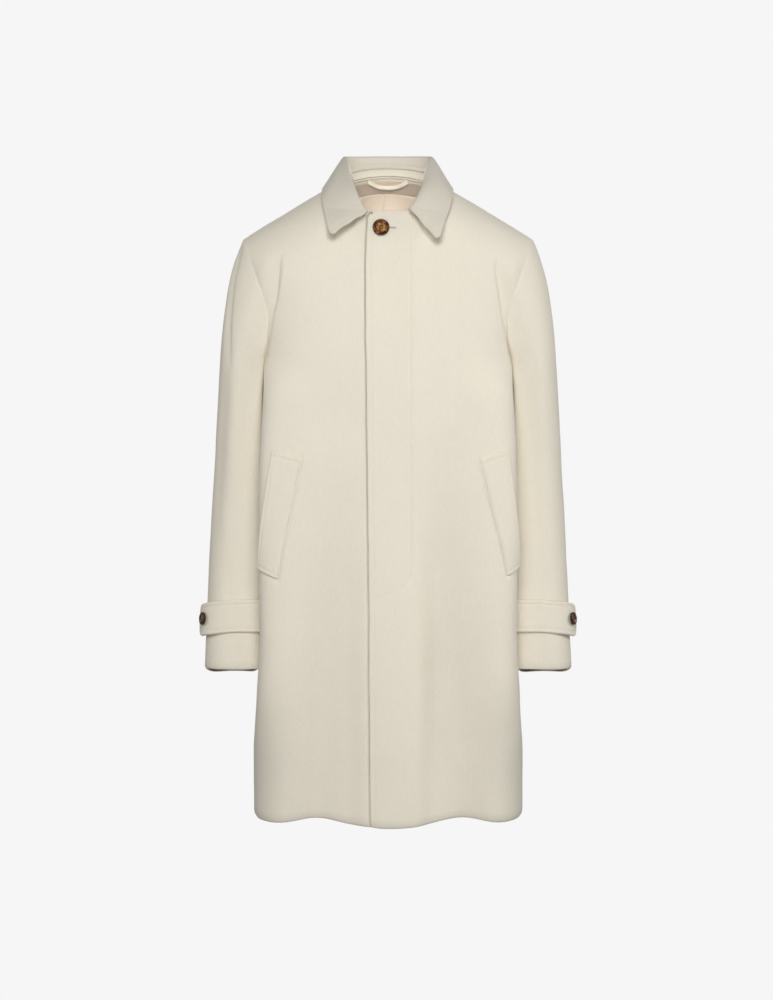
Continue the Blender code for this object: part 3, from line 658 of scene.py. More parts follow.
# a crease's rows are place across, height, depth; troughs are positive and ridges negative
def creaseAll(sheets, creases):
    rules, trees = creaseRules, [treeOf(sheet) for sheet in sheets]
    for crease in creases:
        path = projected(crease["rows"], crease["seen"], trees)
        if len(path) < rules["least"]:
            print("   a crease missed the cloth:", crease["rows"][0])
            continue
        spots, facings, depths = path[:, :3], path[:, 3:6], path[:, 6]
        soften(facings, rules["softening"])
        facings /= np.linalg.norm(facings, axis=1, keepdims=True)
        ways = np.gradient(spots, axis=0)
        ways /= np.linalg.norm(ways, axis=1, keepdims=True)
        wide = crease["wide"]
        steep = crease.get("steep", wide)
        gentle = np.array(crease.get("gentle", (1, 0, 0)), dtype=float)
        reach = rules["reach"] * wide
        low, high = spots.min(axis=0) - reach, spots.max(axis=0) + reach
        for sheet in sheets:
            near = np.nonzero(np.all((sheet.co > low) & (sheet.co < high), axis=1))[0]
            if not len(near):
                continue
            gap = sheet.co[near][:, None] - spots[None]
            nearest = np.argmin((gap ** 2).sum(axis=2), axis=1)
            gap = gap[np.arange(len(near)), nearest]
            across = gap - (gap * ways[nearest]).sum(axis=1)[:, None] * ways[nearest]
            off = np.linalg.norm(across, axis=1)
            ahead = (across * gentle).sum(axis=1) > 0
            sink = bell(off, np.where(ahead, wide, steep))
            swell = np.where(ahead, bell(off - rules["swellAt"] * wide, wide), 0.0)
            amount = depths[nearest] * (sink - crease.get("ridge", 0.0) * swell)
            amount *= bell(np.maximum(np.linalg.norm(gap, axis=1) - rules["endsAt"] * wide, 0.0), wide)
            sheet.shift[near] -= amount[:, None] * facings[nearest]


# slow unevenness of worn cloth, the same for every layer at a place
def waver(sheet, amount):
    length = clothRules["waveLength"]
    for k, p in enumerate(sheet.co):
        spot = Vector(p) / length
        ripple = clothRules["ripple"] * noise.noise_vector(spot * clothRules["rippleTimes"])
        sheet.shift[k] += amount * np.array(noise.noise_vector(spot) + ripple)


def push(sheet, amount):
    sheet.shift += amount[:, None] * sheet.normal


# an edge turned in: the turn itself, the full roll behind it and the stitches' groove
def rollEdge(sheet, field, turn, drop, inset=0.0, puff=0.0, groove=0.0):
    over = np.clip(1.0 - field / turn, 0.0, 1.0)
    amount = -drop * (1.0 - np.sqrt(1.0 - over * over))
    if inset:
        amount += puff * bell(field - 0.5 * inset, clothRules["rollSpread"] * inset)
        amount -= groove * bell(field - inset, clothRules["grooveWide"])
    push(sheet, amount)


# brings a sewn side up to its neighbour
def closeSeam(sheet, line, reach):
    pairs = edgePairs(sheet.mesh)
    onLine = np.zeros(len(sheet.co), dtype=bool)
    onLine[line] = True
    for a, b in np.concatenate((pairs, pairs[:, ::-1])):
        if onLine[a] and not onLine[b]:
            way = sheet.co[a] - sheet.co[b]
            sheet.shift[a] += way * (reach / np.linalg.norm(way))


def pressSeam(sheet, field, depth, wide):
    push(sheet, -depth * bell(field, wide))


def settleAll():
    for sheet in sheets.values():
        setPoints(sheet, sheet.co + sheet.shift)


# holds an inner layer clear of the cloth outside it
def keepInside(inner, shells, room):
    trees = [treeOf(shell) for shell in shells]
    co = inner.co.copy()
    for k, p in enumerate(inner.co):
        found = [tree.find_nearest(Vector(p)) for tree in trees]
        spot, facing, _, _ = min(found, key=lambda hit: hit[3])
        over = (Vector(p) - spot).dot(facing) + room
        if over > 0:
            co[k] -= over * np.array(facing)
    setPoints(inner, co)


stitchSize = dict(pitch=0.0036, length=0.0026, thick=0.00042, lift=0.00012, ahead=0.0008)


def chainPoints(sheet, chain):
    a = np.array([c[0] for c in chain])
    b = np.array([c[1] for c in chain])
    share = np.array([c[2] for c in chain])[:, None]
    place = sheet.co[a] * (1 - share) + sheet.co[b] * share
    facing = sheet.normal[a] * (1 - share) + sheet.normal[b] * share
    return place, facing


def layStitch(bm, here, along, up, size):
    side = up.cross(along).normalized()
    up = along.cross(side)
    turn = Matrix((along, side, up)).transposed().to_4x4()
    grow = Matrix.Diagonal((size["length"] / 2, size["thick"], size["thick"] * 0.8, 1.0))
    spot = Matrix.Translation(here + up * size["lift"])
    bmesh.ops.create_uvsphere(bm, u_segments=6, v_segments=4, radius=1.0, matrix=spot @ turn @ grow)


def addStitches(bm, place, facing, size=stitchSize):
    smooth = place.copy()
    soften(smooth, 4)
    steps = lengthsAlong(smooth)
    for k in range(int(steps[-1] / size["pitch"])):
        at = (k + 0.5) * size["pitch"]
        here = pointAt(smooth, steps, at)
        way = pointAt(smooth, steps, at + stitchSize["ahead"]) - here
        layStitch(bm, here, way.normalized(), pointAt(facing, steps, at).normalized(), size)


# stitches along a field's contour, where keep holds
def stitchField(bm, sheet, field, value, keep=None, size=stitchSize):
    for chain in contour(sheet, field, value):
        place, facing = chainPoints(sheet, chain)
        held = np.ones(len(place), dtype=bool) if keep is None else np.array([keep(p) for p in place])
        breaks = np.nonzero(np.diff(held.astype(int)))[0] + 1
        for part in np.split(np.arange(len(place)), breaks):
            if held[part[0]] and len(part) > 4:
                addStitches(bm, place[part], facing[part], size)


def newPiece(name, mesh, finishing, replaced=None):
    made = bpy.data.objects.new(name, mesh)
    scene.collection.objects.link(made)
    if not mesh.materials:
        mesh.materials.append(finishing)
    mesh.shade_smooth()
    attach(made, "root")
    if replaced:
        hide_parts(replaced)
    return made


def pieceFromBmesh(name, bm, finishing, replaced=None):
    return newPiece(name, meshFrom(name, bm), finishing, replaced)


# thickness behind the showing side, and a rounded rim
def clothPiece(sheet, name, finishing, behind=None):
    sheet.mesh.materials.clear()
    for made in (finishing, behind or finishing):
        sheet.mesh.materials.append(made)
    walls = dict(thickness=sheet.thick, offset=-1.0, use_rim=True, material_offset=1 if behind else 0)
    rim = dict(width=clothRules["rim"], segments=clothRules["rimSegments"], limit_method="ANGLE",
               angle_limit=math.radians(clothRules["rimAngle"]), profile=0.5)
    mesh = evaluated(name, sheet.mesh, ("SOLIDIFY", walls), ("BEVEL", rim))
    if not behind:
        mesh.materials.pop()
    mesh.name = name
    return newPiece(name, mesh, finishing, sheet.node)


levels = dict(body=3, sleeve=3, collar=3, welt=4, strap=3, facing=3, lining=2)
thickness = dict(shell=0.0024, welt=0.0020, strap=0.0030, facing=0.0016, lining=0.0010)
sheets = {}
for node in ("left_front", "right_front", "back_left", "back_right"):
    sheets[node] = makeSheet(node, awayFrom(bodyAxis), levels["body"], thickness["shell"])
for word, side in bothSides:
    armAxis = Vector((side * armPlace[0], armPlace[1], 0.0))
    for half in ("top", "under"):
        node = word + "_" + half + "_sleeve"
        sheets[node] = makeSheet(node, awayFrom(armAxis), levels["sleeve"], thickness["shell"])
    node = word + "_sleeve_strap"
    sheets[node] = makeSheet(node, awayFrom(armAxis), levels["strap"], thickness["strap"])
    node = word + "_pocket_welt"
    sheets[node] = makeSheet(node, awayFrom(bodyAxis), levels["welt"], thickness["welt"])
sheets["collar_leaf"] = makeSheet("collar_leaf", awayFrom(neckAxis), levels["collar"], thickness["shell"])
inward = awayFrom(neckAxis, -1.0)
sheets["collar_stand"] = makeSheet("collar_stand", inward, levels["collar"], thickness["shell"], match=0.02)
for node in ("back_neck_facing", "back_lining"):
    sheets[node] = makeSheet(node, inward, levels[node.split("_")[-1]], thickness[node.split("_")[-1]])
for node, sheet in sheets.items():
    print("  ", node, len(sheet.co), "points,", len(sheet.sides), "sides")
print("sheets laid on the solids")

# square corners drawn in round
corners = [
    ("left_front", (-0.029, -0.111, -0.053), 0.014), ("left_front", (-0.025, -0.164, -0.970), 0.005),
    ("right_front", (0.027, -0.108, -0.054), 0.005), ("right_front", (0.027, -0.161, -0.971), 0.005),
    ("collar_leaf", (0.073, -0.125, -0.097), 0.0085), ("collar_leaf", (-0.084, -0.123, -0.091), 0.0085),
]
for word, side in bothSides:
    corners += [(word + "_sleeve_strap", (side * 0.291, -0.010, -0.683), 0.016),
                (word + "_sleeve_strap", (side * 0.290, -0.006, -0.655), 0.016)]
for node, near, radius in corners:
    roundCorner(sheets[node], near, radius)

# free edges: where their sides lie, how far the net is drawn in to them, the reach and fall of the turn,
# and the stitches' inset, with the roll before them and the groove under them
hem = dict(draw=0.014, turn=0.0036, drop=0.0020)
cuff = dict(draw=0.012, turn=0.0034, drop=0.0018)
turnedEdges = [
    dict(node="left_front", near=[(-0.030, -0.141, -0.310)], draw=0.014, turn=0.0026, drop=0.0020,
         inset=0.0090, stitches="front_stitches", keep=lambda p: p[2] > -0.955),
    dict(node="left_front", near=[(0.077, -0.012, 0.002)], draw=0.008, turn=0.0030, drop=0.0012,
         inset=0.0045, puff=0.0002, groove=0.0003, stitches="front_stitches",
         keep=lambda p: -0.026 < p[0] < 0.026 and p[1] < -0.08),
    dict(hem, node="left_front", near=[(0.075, -0.142, -0.965)]),
    dict(hem, node="right_front", near=[(-0.072, -0.143, -0.965)]),
    dict(node="collar_leaf", near=[(0.0, 0.115, 0.0), (0.052, -0.118, -0.07), (-0.058, -0.115, -0.07)],
         draw=0.007, power=1.5, turn=0.0034, drop=0.0020, inset=0.0066, puff=0.0007, groove=0.0008,
         stitches="collar_stitches"),
    dict(node="collar_stand", near=[(0.0, 0.071, 0.026)], draw=0.002, turn=0.0010, drop=0.0003,
         inset=0.0035, stitches="neck_stitches", keep=lambda p: p[1] > 0.0),
]
for word, side in bothSides:
    turnedEdges += [
        dict(hem, node="back_" + word, near=[(side * 0.097, 0.135, -0.962)]),
        dict(cuff, node=word + "_top_sleeve", near=[(side * 0.275, -0.044, -0.738)]),
        dict(cuff, node=word + "_under_sleeve", near=[(side * 0.214, 0.027, -0.754)]),
        dict(node=word + "_sleeve_strap", draw=0.006, power=1.5, turn=0.0020, drop=0.0026,
             near=[(side * 0.291, -0.008, -0.669), (side * 0.248, -0.063, -0.685),
                   (side * 0.246, -0.057, -0.636)],
             inset=0.0060, puff=0.0005, groove=0.0006, stitches="strap_stitches"),
    ]
weltSides = dict(
    left=dict(outer=(0.193, -0.083, -0.508), bottom=(0.193, -0.085, -0.607),
              inner=(0.161, -0.116, -0.519), top=(0.160, -0.112, -0.420)),
    right=dict(outer=(-0.184, -0.097, -0.511), bottom=(-0.181, -0.102, -0.610),
               inner=(-0.146, -0.123, -0.520), top=(-0.149, -0.119, -0.421)))
for word, near in weltSides.items():
    edges = [
        dict(near=[near["outer"]], turn=0.0014, drop=0.0006, inset=0.0042, puff=0.0005, groove=0.0007,
             stitches="pocket_stitches"),
        dict(near=[near["inner"]], turn=0.0060, drop=0.0044),
        dict(near=[near["top"], near["bottom"]], turn=0.0018, drop=0.0024, inset=0.0060, puff=0.0003,
             groove=0.0005, stitches="pocket_stitches")]
    turnedEdges += [dict(edge, node=word + "_pocket_welt", draw=0.005, power=1.5) for edge in edges]
for edge in turnedEdges:
    edge["sides"] = sideNear(sheets[edge["node"]], *edge["near"])
for edge in turnedEdges:
    crowd(sheets[edge["node"]], edge["sides"], edge["draw"], edge.get("power", 2.0))
print("corners rounded, free edges drawn up")


# each sleeve lies full against the body in front, and its cuff hangs nearly level
sleeveForm = dict(
    heights=[-0.640, -0.580, -0.480, -0.400, -0.340, -0.300, -0.260],
    frontX=[0.237, 0.236, 0.232, 0.230, 0.228, 0.226, 0.217],
    frontY=[-0.055, -0.050, -0.048, -0.054, -0.062, -0.068, -0.074],
    innerX=[0.192, 0.189, 0.187, 0.186, 0.1855, 0.188, 0.195],
    middleY=0.005, square=13.0, fullFrom=-0.225, fullTo=-0.300,
    tuck=0.011, tuckAt=-0.258, tuckSpread=0.046, tuckFrom=-0.005, tuckFade=0.03,
    cuffFrom=-0.694, frontHem=-0.7445, backHem=-0.7560, hemFrom=-0.03, hemFade=0.06, cuffPower=1.5,
    strapInner=0.196, strapOuter=0.290, strapTilt=0.0046, strapBow=0.0018)


def fillSleeve(sheet, side):
    form = sleeveForm
    co = sheet.co.copy()
    x, y, z = side * co[:, 0], co[:, 1], co[:, 2]
    middle, front, inner = (np.interp(z, form["heights"], form[k]) for k in ("frontX", "frontY", "innerX"))
    a = np.maximum((middle - x) / (middle - inner), 0.0)
    b = np.maximum((form["middleY"] - y) / (form["middleY"] - front), 0.0)
    corner = (a > 0) & (b > 0)
    power = form["square"]
    grow = np.ones(len(co))
    grow[corner] = np.hypot(a, b)[corner] / (a[corner] ** power + b[corner] ** power) ** (1 / power)
    share = ease((form["fullFrom"] - z) / (form["fullFrom"] - form["fullTo"]))
    grow = 1.0 + (grow - 1.0) * share
    x, y = middle + (x - middle) * grow, form["middleY"] + (y - form["middleY"]) * grow
    bump = bell(z - form["tuckAt"], form["tuckSpread"]) * ease(a)
    x -= form["tuck"] * (bump * ease((form["tuckFrom"] - y) / form["tuckFade"]))
    return np.array([side * x, y, z]).T


# how much lower a strap lies than its solid: its outer end falls, and its middle a little
def strapFall(x):
    form = sleeveForm
    share = np.clip((np.abs(x) - form["strapInner"]) / (form["strapOuter"] - form["strapInner"]), 0.0, 1.0)
    return form["strapTilt"] * share + form["strapBow"] * 4 * share * (1 - share)


def levelCuff(sheet, line):
    form = sleeveForm
    co = sheet.co.copy()
    rim = sheet.co[line]
    for k in np.nonzero(co[:, 2] < form["cuffFrom"])[0]:
        near = rim[np.argmin(np.linalg.norm(rim[:, :2] - co[k, :2], axis=1))]
        behind = ease((near[1] - form["hemFrom"]) / form["hemFade"])
        wanted = form["frontHem"] + (form["backHem"] - form["frontHem"]) * behind
        share = (form["cuffFrom"] - co[k, 2]) / (form["cuffFrom"] - near[2])
        co[k, 2] += (wanted - near[2]) * share ** form["cuffPower"]
    return co


for word, side in bothSides:
    for node in (word + "_top_sleeve", word + "_under_sleeve", word + "_sleeve_strap"):
        sheet = sheets[node]
        setPoints(sheet, fillSleeve(sheet, side))
        if node.endswith("strap"):
            fall = strapFall(sheet.co[:, 0])
            setPoints(sheet, sheet.co - np.array([fall * 0, fall * 0, fall]).T)
        else:
            setPoints(sheet, levelCuff(sheet, sideNear(sheet, (side * 0.24, 0.0, -0.75))[0]))

# below the armholes the fronts are full and flat until they turn to the side
bodyForm = dict(middleX=0.080, sideX=0.202, most=0.97, square=2.7,
                heights=[-0.930, -0.740, -0.340, -0.270], fullness=[0.0, 1.0, 1.0, 0.0])


def fillBody(sheet):
    form = bodyForm
    co = sheet.co.copy()
    power = form["square"]
    a = np.clip((np.abs(co[:, 0]) - form["middleX"]) / (form["sideX"] - form["middleX"]), 0.0, form["most"])
    grow = (1.0 - a ** power) ** (1 / power) / np.sqrt(1.0 - a * a)
    grow = 1.0 + (grow - 1.0) * ease(np.interp(co[:, 2], form["heights"], form["fullness"]))
    co[:, 1] = np.where(co[:, 1] < 0, co[:, 1] * grow, co[:, 1])
    return co


for word in ("left", "right"):
    setPoints(sheets[word + "_front"], fillBody(sheets[word + "_front"]))

# each welt's corners across and up, from the top of its outer edge round to the top of its inner one
weltForm = dict(left=[(0.1775, -0.4139), (0.1966, -0.5870), (0.1780, -0.6005), (0.1365, -0.4275)],
                right=[(-0.1716, -0.4136), (-0.1925, -0.5900), (-0.1650, -0.6050), (-0.1290, -0.4258)],
                above=0.0023, middle=-0.51, across=(0.100, 0.206, 0.001), inward=0.998)


def castBack(tree, x, z, start=-1.0):
    return tree.ray_cast(Vector((x, start, z)), Vector((0, 1, 0)))


# spreads a welt between its corners, measured round the body, and lays it on its front
def layWelt(word):
    welt, near = sheets[word + "_pocket_welt"], weltSides[word]
    outer, bottom, inner, top = (sideField(welt, sideNear(welt, near[k]), 0.3)[:, None]
                                 for k in ("outer", "bottom", "inner", "top"))
    u, v = outer / (outer + inner), top / (top + bottom)
    tree = treeOf(sheets[word + "_front"])
    side = math.copysign(1.0, weltForm[word][0][0])
    section = []
    for x in np.arange(*weltForm["across"]):
        hit = castBack(tree, side * x, weltForm["middle"])
        if hit[0] is not None:
            section.append((x, hit[0].y))
    section = np.array(section)
    along = lengthsAlong(section)
    a, b, c, d = (np.array((np.interp(side * x, section[:, 0], along), z)) for x, z in weltForm[word])
    spots = (a * (1 - v) + b * v) * (1 - u) + (d * (1 - v) + c * v) * u
    co = welt.co.copy()
    for k, (step, z) in enumerate(spots):
        x = side * np.interp(step, along, section[:, 0])
        hit = castBack(tree, x, z)
        while hit[0] is None:  # past the body's side
            x *= weltForm["inward"]
            hit = castBack(tree, x, z)
        co[k] = hit[0] + hit[1] * math.copysign(weltForm["above"], -hit[1].y)
    setPoints(welt, co)


for word in ("left", "right"):
    layWelt(word)

# the leaf's front ends hang lower than its seam, and its free edge is full and stands off
leafForm = dict(ends=[((0.036, -0.114, -0.052), 0.006, 0.017), ((-0.036, -0.111, -0.053), 0.0090, 0.017),
                      ((0.0545, -0.120, -0.072), 0.0055, 0.012), ((-0.058, -0.116, -0.069), 0.0052, 0.014),
                      ((0.073, -0.125, -0.097), 0.0050, 0.022), ((-0.084, -0.123, -0.091), 0.0045, 0.022)],
                forward=-0.25, standOff=0.0022, frontOff=0.0100, frontFrom=-0.015, frontFade=0.070,
                frontFall=-0.10, reach=0.028, thick=0.0040)
leaf = sheets["collar_leaf"]
co = leaf.co.copy()
for place, drop, spread in leafForm["ends"]:
    near = bell(np.linalg.norm(leaf.co - np.array(place), axis=1), spread)
    co += near[:, None] * np.array((0.0, leafForm["forward"] * drop, -drop))
setPoints(leaf, co)
leafFree = [edge["sides"] for edge in turnedEdges if edge["node"] == "collar_leaf"][0]
nearEdge = bell(sideField(leaf, leafFree), leafForm["reach"])
inFront = ease((leafForm["frontFrom"] - leaf.co[:, 1]) / leafForm["frontFade"])
toFront = nearEdge * inFront * leafForm["frontOff"]
setPoints(leaf, leaf.co + (leafForm["standOff"] * nearEdge)[:, None] * leaf.normal
          + toFront[:, None] * np.array((0.0, -1.0, leafForm["frontFall"])))
leaf.thick = leafForm["thick"]

# inside the neck the stand laps up to the leaf's seam, and the facing slips up behind the stand: place,
# reach, rise, way back
slips = [("collar_stand", (0.0, 0.070, 0.036), 0.0030, 0.0026, -0.0013),
         ("back_neck_facing", (0.0, 0.072, 0.022), 0.0040, 0.0034, 0.0030)]
for node, near, reach, rise, back in slips:
    sheet = sheets[node]
    field = sideField(sheet, sideNear(sheet, near))
    away = sheet.co - np.array((neckAxis.x, neckAxis.y, 0.0))
    away[:, 2] = 0.0
    away *= back / np.linalg.norm(away, axis=1, keepdims=True)
    away[:, 2] = rise
    setPoints(sheet, sheet.co + bell(field, reach)[:, None] * away)
fineness = dict(reach=0.007, cuts=2, pleatReach=0.016, pleatCuts=3)
for word in ("left", "right"):
    welt, strap = sheets[word + "_pocket_welt"], sheets[word + "_sleeve_strap"]
    refine(sheets[word + "_front"], pathsOf(welt, welt.sides), fineness["reach"], fineness["cuts"])
    for half in ("_top_sleeve", "_under_sleeve"):
        refine(sheets[word + half], pathsOf(strap, strap.sides), fineness["reach"], fineness["cuts"])
print("sleeves and collar filled out")

# main folds of the body and sleeves as the photograph shows them, and like ones behind
folds = [
    # beside each armhole, down the chest
    dict(seen="front", wide=0.016, steep=0.0055, gentle=(-1, 0, 0), ridge=0.22,
         rows=[(-0.163, -0.112, 0.0), (-0.166, -0.143, 0.006), (-0.171, -0.178, 0.009),
               (-0.178, -0.207, 0.008), (-0.182, -0.249, 0.004), (-0.186, -0.285, 0.0)]),
    dict(seen="front", wide=0.016, steep=0.0055, gentle=(1, 0, 0), ridge=0.22,
         rows=[(0.163, -0.118, 0.0), (0.165, -0.138, 0.005), (0.169, -0.160, 0.008), (0.1725, -0.183, 0.009),
               (0.176, -0.208, 0.008), (0.182, -0.241, 0.004), (0.186, -0.280, 0.0)]),
    # outer folds of the wearer's right sleeve
    dict(seen="front", wide=0.013, steep=0.006, gentle=(-1, 0, 0), ridge=0.20,
         rows=[(-0.226, -0.098, 0.0), (-0.228, -0.110, 0.003), (-0.238, -0.154, 0.005),
               (-0.2415, -0.200, 0.0045), (-0.242, -0.242, 0.003), (-0.241, -0.300, 0.0)]),
    dict(seen="front", wide=0.017, gentle=(-1, 0, 0),
         rows=[(-0.2415, -0.242, 0.0), (-0.250, -0.335, 0.003), (-0.2575, -0.410, 0.0035),
               (-0.262, -0.500, 0.002), (-0.266, -0.570, 0.0)]),
    # soft flutes of the skirt on both sides of the front edge
    dict(seen="front", wide=0.021,
         rows=[(-0.056, -0.450, 0.0), (-0.057, -0.560, 0.003), (-0.0575, -0.700, 0.0045),
               (-0.058, -0.850, 0.005), (-0.058, -0.980, 0.005)]),
    dict(seen="front", wide=0.023,
         rows=[(0.073, -0.460, 0.0), (0.073, -0.580, 0.003), (0.072, -0.720, 0.005), (0.070, -0.860, 0.006),
               (0.069, -0.980, 0.006)]),
    # backs: beside each armhole
    dict(seen="back", wide=0.017, steep=0.008, gentle=(1, 0, 0), ridge=0.2,
         rows=[(0.164, -0.120, 0.0), (0.167, -0.160, 0.004), (0.172, -0.205, 0.0055), (0.178, -0.255, 0.003),
               (0.182, -0.300, 0.0)]),
    dict(seen="back", wide=0.017, steep=0.008, gentle=(-1, 0, 0), ridge=0.2,
         rows=[(-0.162, -0.128, 0.0), (-0.166, -0.170, 0.0045), (-0.172, -0.215, 0.0050),
               (-0.177, -0.260, 0.0025), (-0.180, -0.310, 0.0)]),
]
for side in (1, -1):
    folds += [  # the sleeve is held in a little by its strap
        dict(seen="front", wide=0.006, rows=[(side * 0.213, -0.590, 0.0), (side * 0.214, -0.615, 0.0010),
                                             (side * 0.214, -0.634, 0.0014), (side * 0.214, -0.650, 0.0)]),
        dict(seen="front", wide=0.007, rows=[(side * 0.241, -0.575, 0.0), (side * 0.243, -0.610, 0.0009),
                                             (side * 0.244, -0.634, 0.0012), (side * 0.244, -0.650, 0.0)]),
    ]
folds += [
    # backs: flutes of the skirt, and hollows of the sleeves behind the elbows
    dict(seen="back", wide=0.024, rows=[(0.071, -0.520, 0.0), (0.076, -0.660, 0.003), (0.079, -0.820, 0.005),
                                        (0.080, -0.980, 0.005)]),
    dict(seen="back", wide=0.026, rows=[(-0.088, -0.480, 0.0), (-0.092, -0.640, 0.003),
                                        (-0.094, -0.800, 0.0055), (-0.095, -0.980, 0.006)]),
    dict(seen="back", wide=0.013, rows=[(0.196, -0.360, 0.0), (0.214, -0.386, 0.003), (0.238, -0.401, 0.004),
                                        (0.262, -0.405, 0.0)]),
    dict(seen="back", wide=0.012, rows=[(0.200, -0.425, 0.0), (0.220, -0.441, 0.0025), (0.246, -0.449, 0.003),
                                        (0.266, -0.450, 0.0)]),
    dict(seen="back", wide=0.014, rows=[(-0.198, -0.372, 0.0), (-0.218, -0.395, 0.0035),
                                        (-0.243, -0.408, 0.003), (-0.264, -0.410, 0.0)]),
    dict(seen="back", wide=0.012, rows=[(-0.201, -0.448, 0.0), (-0.224, -0.461, 0.003),
                                        (-0.250, -0.466, 0.0)]),
    # the fly's row of stitches, pulled in
    dict(seen="front", wide=0.0035, rows=[(0.0348, -0.090, 0.0), (0.0348, -0.110, 0.0005),
                                          (0.0348, -0.300, 0.0005), (0.0348, -0.590, 0.0006),
                                          (0.0346, -0.600, 0.0006)]),
    dict(seen="front", wide=0.0035, rows=[(0.0348, -0.596, 0.0006), (0.0330, -0.604, 0.0009),
                                          (0.0280, -0.611, 0.0010), (0.0050, -0.622, 0.0010),
                                          (-0.0185, -0.634, 0.0008)]),
]
pleats = [dict(seen="front", wide=0.016, steep=0.0022, gentle=(1, 0, 0),
               rows=[(-0.0056, 0.0, -0.0022), (-0.0056, -0.060, -0.0030), (-0.0050, -0.200, -0.0032),
                     (-0.0048, -0.350, -0.0034)])]
lining = sheets["back_lining"]
pleatLine = projected(pleats[0]["rows"][:2], "front", [treeOf(lining)])[:, :3]
refine(lining, [pleatLine], fineness["pleatReach"], fineness["pleatCuts"])
outer = [sheets[n] for n in sheets if n not in ("collar_leaf", "collar_stand", "back_neck_facing")]
creaseAll(outer, folds)
creaseAll([lining], pleats)
for sheet in sheets.values():
    waver(sheet, clothRules["wave"])
settleAll()
print("folds laid")

# the right front rises beside the lapping edge and dives in under it
underlap = dict(lift=0.0012, liftReach=0.034, dive=0.0034, groove=0.0026, fade=0.024, draw=0.020, power=1.9,
                frontOf=-0.06, edgeShift=0.0014, edgeReach=0.03, edgeFar=0.08)


def layUnder(under, edge):
    form = underlap
    path = edge[np.argsort(edge[:, 2])]
    at = np.interp(under.co[:, 2], path[:, 2], path[:, 0])
    showing = at - under.co[:, 0]
    close = (np.abs(showing) < form["draw"]) & (under.co[:, 1] < form["frontOf"])
    moved = np.sign(showing) * form["draw"] * (np.abs(showing) / form["draw"]) ** form["power"]
    step = np.where(close, showing - moved, 0.0)
    co = under.co.copy()
    co[:, 0] += step
    co[close, 1] -= (step * under.normal[:, 0] / under.normal[:, 1])[close]
    setPoints(under, co)
    showing = at - co[:, 0]
    beside = form["lift"] * ease(1.0 - showing / form["liftReach"])
    beside -= (form["lift"] + form["groove"]) * ease(1.0 - showing / form["dive"])
    below = -form["groove"] * ease(1.0 + showing / form["fade"])
    amount = np.where(showing > 0, beside, below)
    push(under, np.where(co[:, 1] < form["frontOf"], amount, 0.0))


leftFront, rightFront = sheets["left_front"], sheets["right_front"]
lapEdge = turnedEdges[0]["sides"]
near = bell(sideField(leftFront, lapEdge, underlap["edgeFar"]), underlap["edgeReach"])
setPoints(leftFront, leftFront.co - underlap["edgeShift"] * near[:, None] * np.array((1.0, 0.0, 0.0)))
layUnder(rightFront, leftFront.co[lapEdge[0]])
for edge in turnedEdges:
    sheet = sheets[edge["node"]]
    edge["field"] = sideField(sheet, edge["sides"])
    given = {k: edge[k] for k in ("turn", "drop", "inset", "puff", "groove") if k in edge}
    rollEdge(sheet, edge["field"], **given)

# cloth is pressed in along seams, round what is sewn on it and under the straps
seamForm = dict(depth=0.0003, wide=0.0045, close=0.00025, weltLift=0.0022, weltLiftReach=0.010,
                strapBed=0.0026, strapBedWide=0.0022, bedReach=0.02,
                leafBed=0.0060, leafBedWide=0.0090, leafBedUp=0.0040, leafBedReach=0.04, leafBedFrom=0.040,
                leafBedFade=0.020, leafBedFrontOf=-0.02, leafBedFrontFade=0.03, liningRoom=0.0040)
# sides that are sewn, on the wearer's left
sewnSides = dict(front=[(0.185, 0.005, -0.312), (0.111, 0.005, -0.014)],
                 back=[(0.185, 0.005, -0.312), (0.0, 0.130, -0.310), (0.111, 0.005, -0.014)],
                 top_sleeve=[(0.239, 0.085, -0.394), (0.217, -0.046, -0.103), (0.195, -0.015, -0.392)],
                 under_sleeve=[(0.239, 0.085, -0.394), (0.195, -0.015, -0.392)])
weltDitches = [("inner", 0.0036, 0.0028), ("top", 0.0022, 0.0020), ("bottom", 0.0024, 0.0018)]
for word, side in bothSides:
    for part, places in sewnSides.items():
        sheet = sheets["back_" + word if part == "back" else word + "_" + part]
        for x, y, z in places:
            line = sideNear(sheet, (side * x, y, z))[0]
            pressSeam(sheet, sideField(sheet, [line]), seamForm["depth"], seamForm["wide"])
            closeSeam(sheet, line, seamForm["close"])
    welt, strap = sheets[word + "_pocket_welt"], sheets[word + "_sleeve_strap"]
    field = sideField(welt, sideNear(welt, weltSides[word]["outer"]))
    pressSeam(welt, field, -seamForm["weltLift"], seamForm["weltLiftReach"])
    front = sheets[word + "_front"]
    for edge, depth, wide in weltDitches:
        line = sideNear(welt, weltSides[word][edge])
        field, _ = distanceTo(front, pathsOf(welt, line), seamForm["bedReach"])
        pressSeam(front, field, depth, wide)
    for half in ("_top_sleeve", "_under_sleeve"):
        field, _ = distanceTo(sheets[word + half], pathsOf(strap, strap.sides), seamForm["bedReach"])
        pressSeam(sheets[word + half], field, seamForm["strapBed"], seamForm["strapBedWide"])
    # a hollow behind the leaf's edge
    lines = [path + np.array((0.0, 0.0, seamForm["leafBedUp"])) for path in pathsOf(leaf, leafFree)]
    field, _ = distanceTo(front, lines, seamForm["leafBedReach"], (1.0, 0.0, 1.0))
    share = ease((np.abs(front.co[:, 0]) - seamForm["leafBedFrom"]) / seamForm["leafBedFade"])
    share *= ease((seamForm["leafBedFrontOf"] - front.co[:, 1]) / seamForm["leafBedFrontFade"])
    push(front, -seamForm["leafBed"] * share * bell(field, seamForm["leafBedWide"]))
settleAll()
keepInside(lining, [sheets["back_left"], sheets["back_right"]], seamForm["liningRoom"])
print("edges rolled, seams pressed")

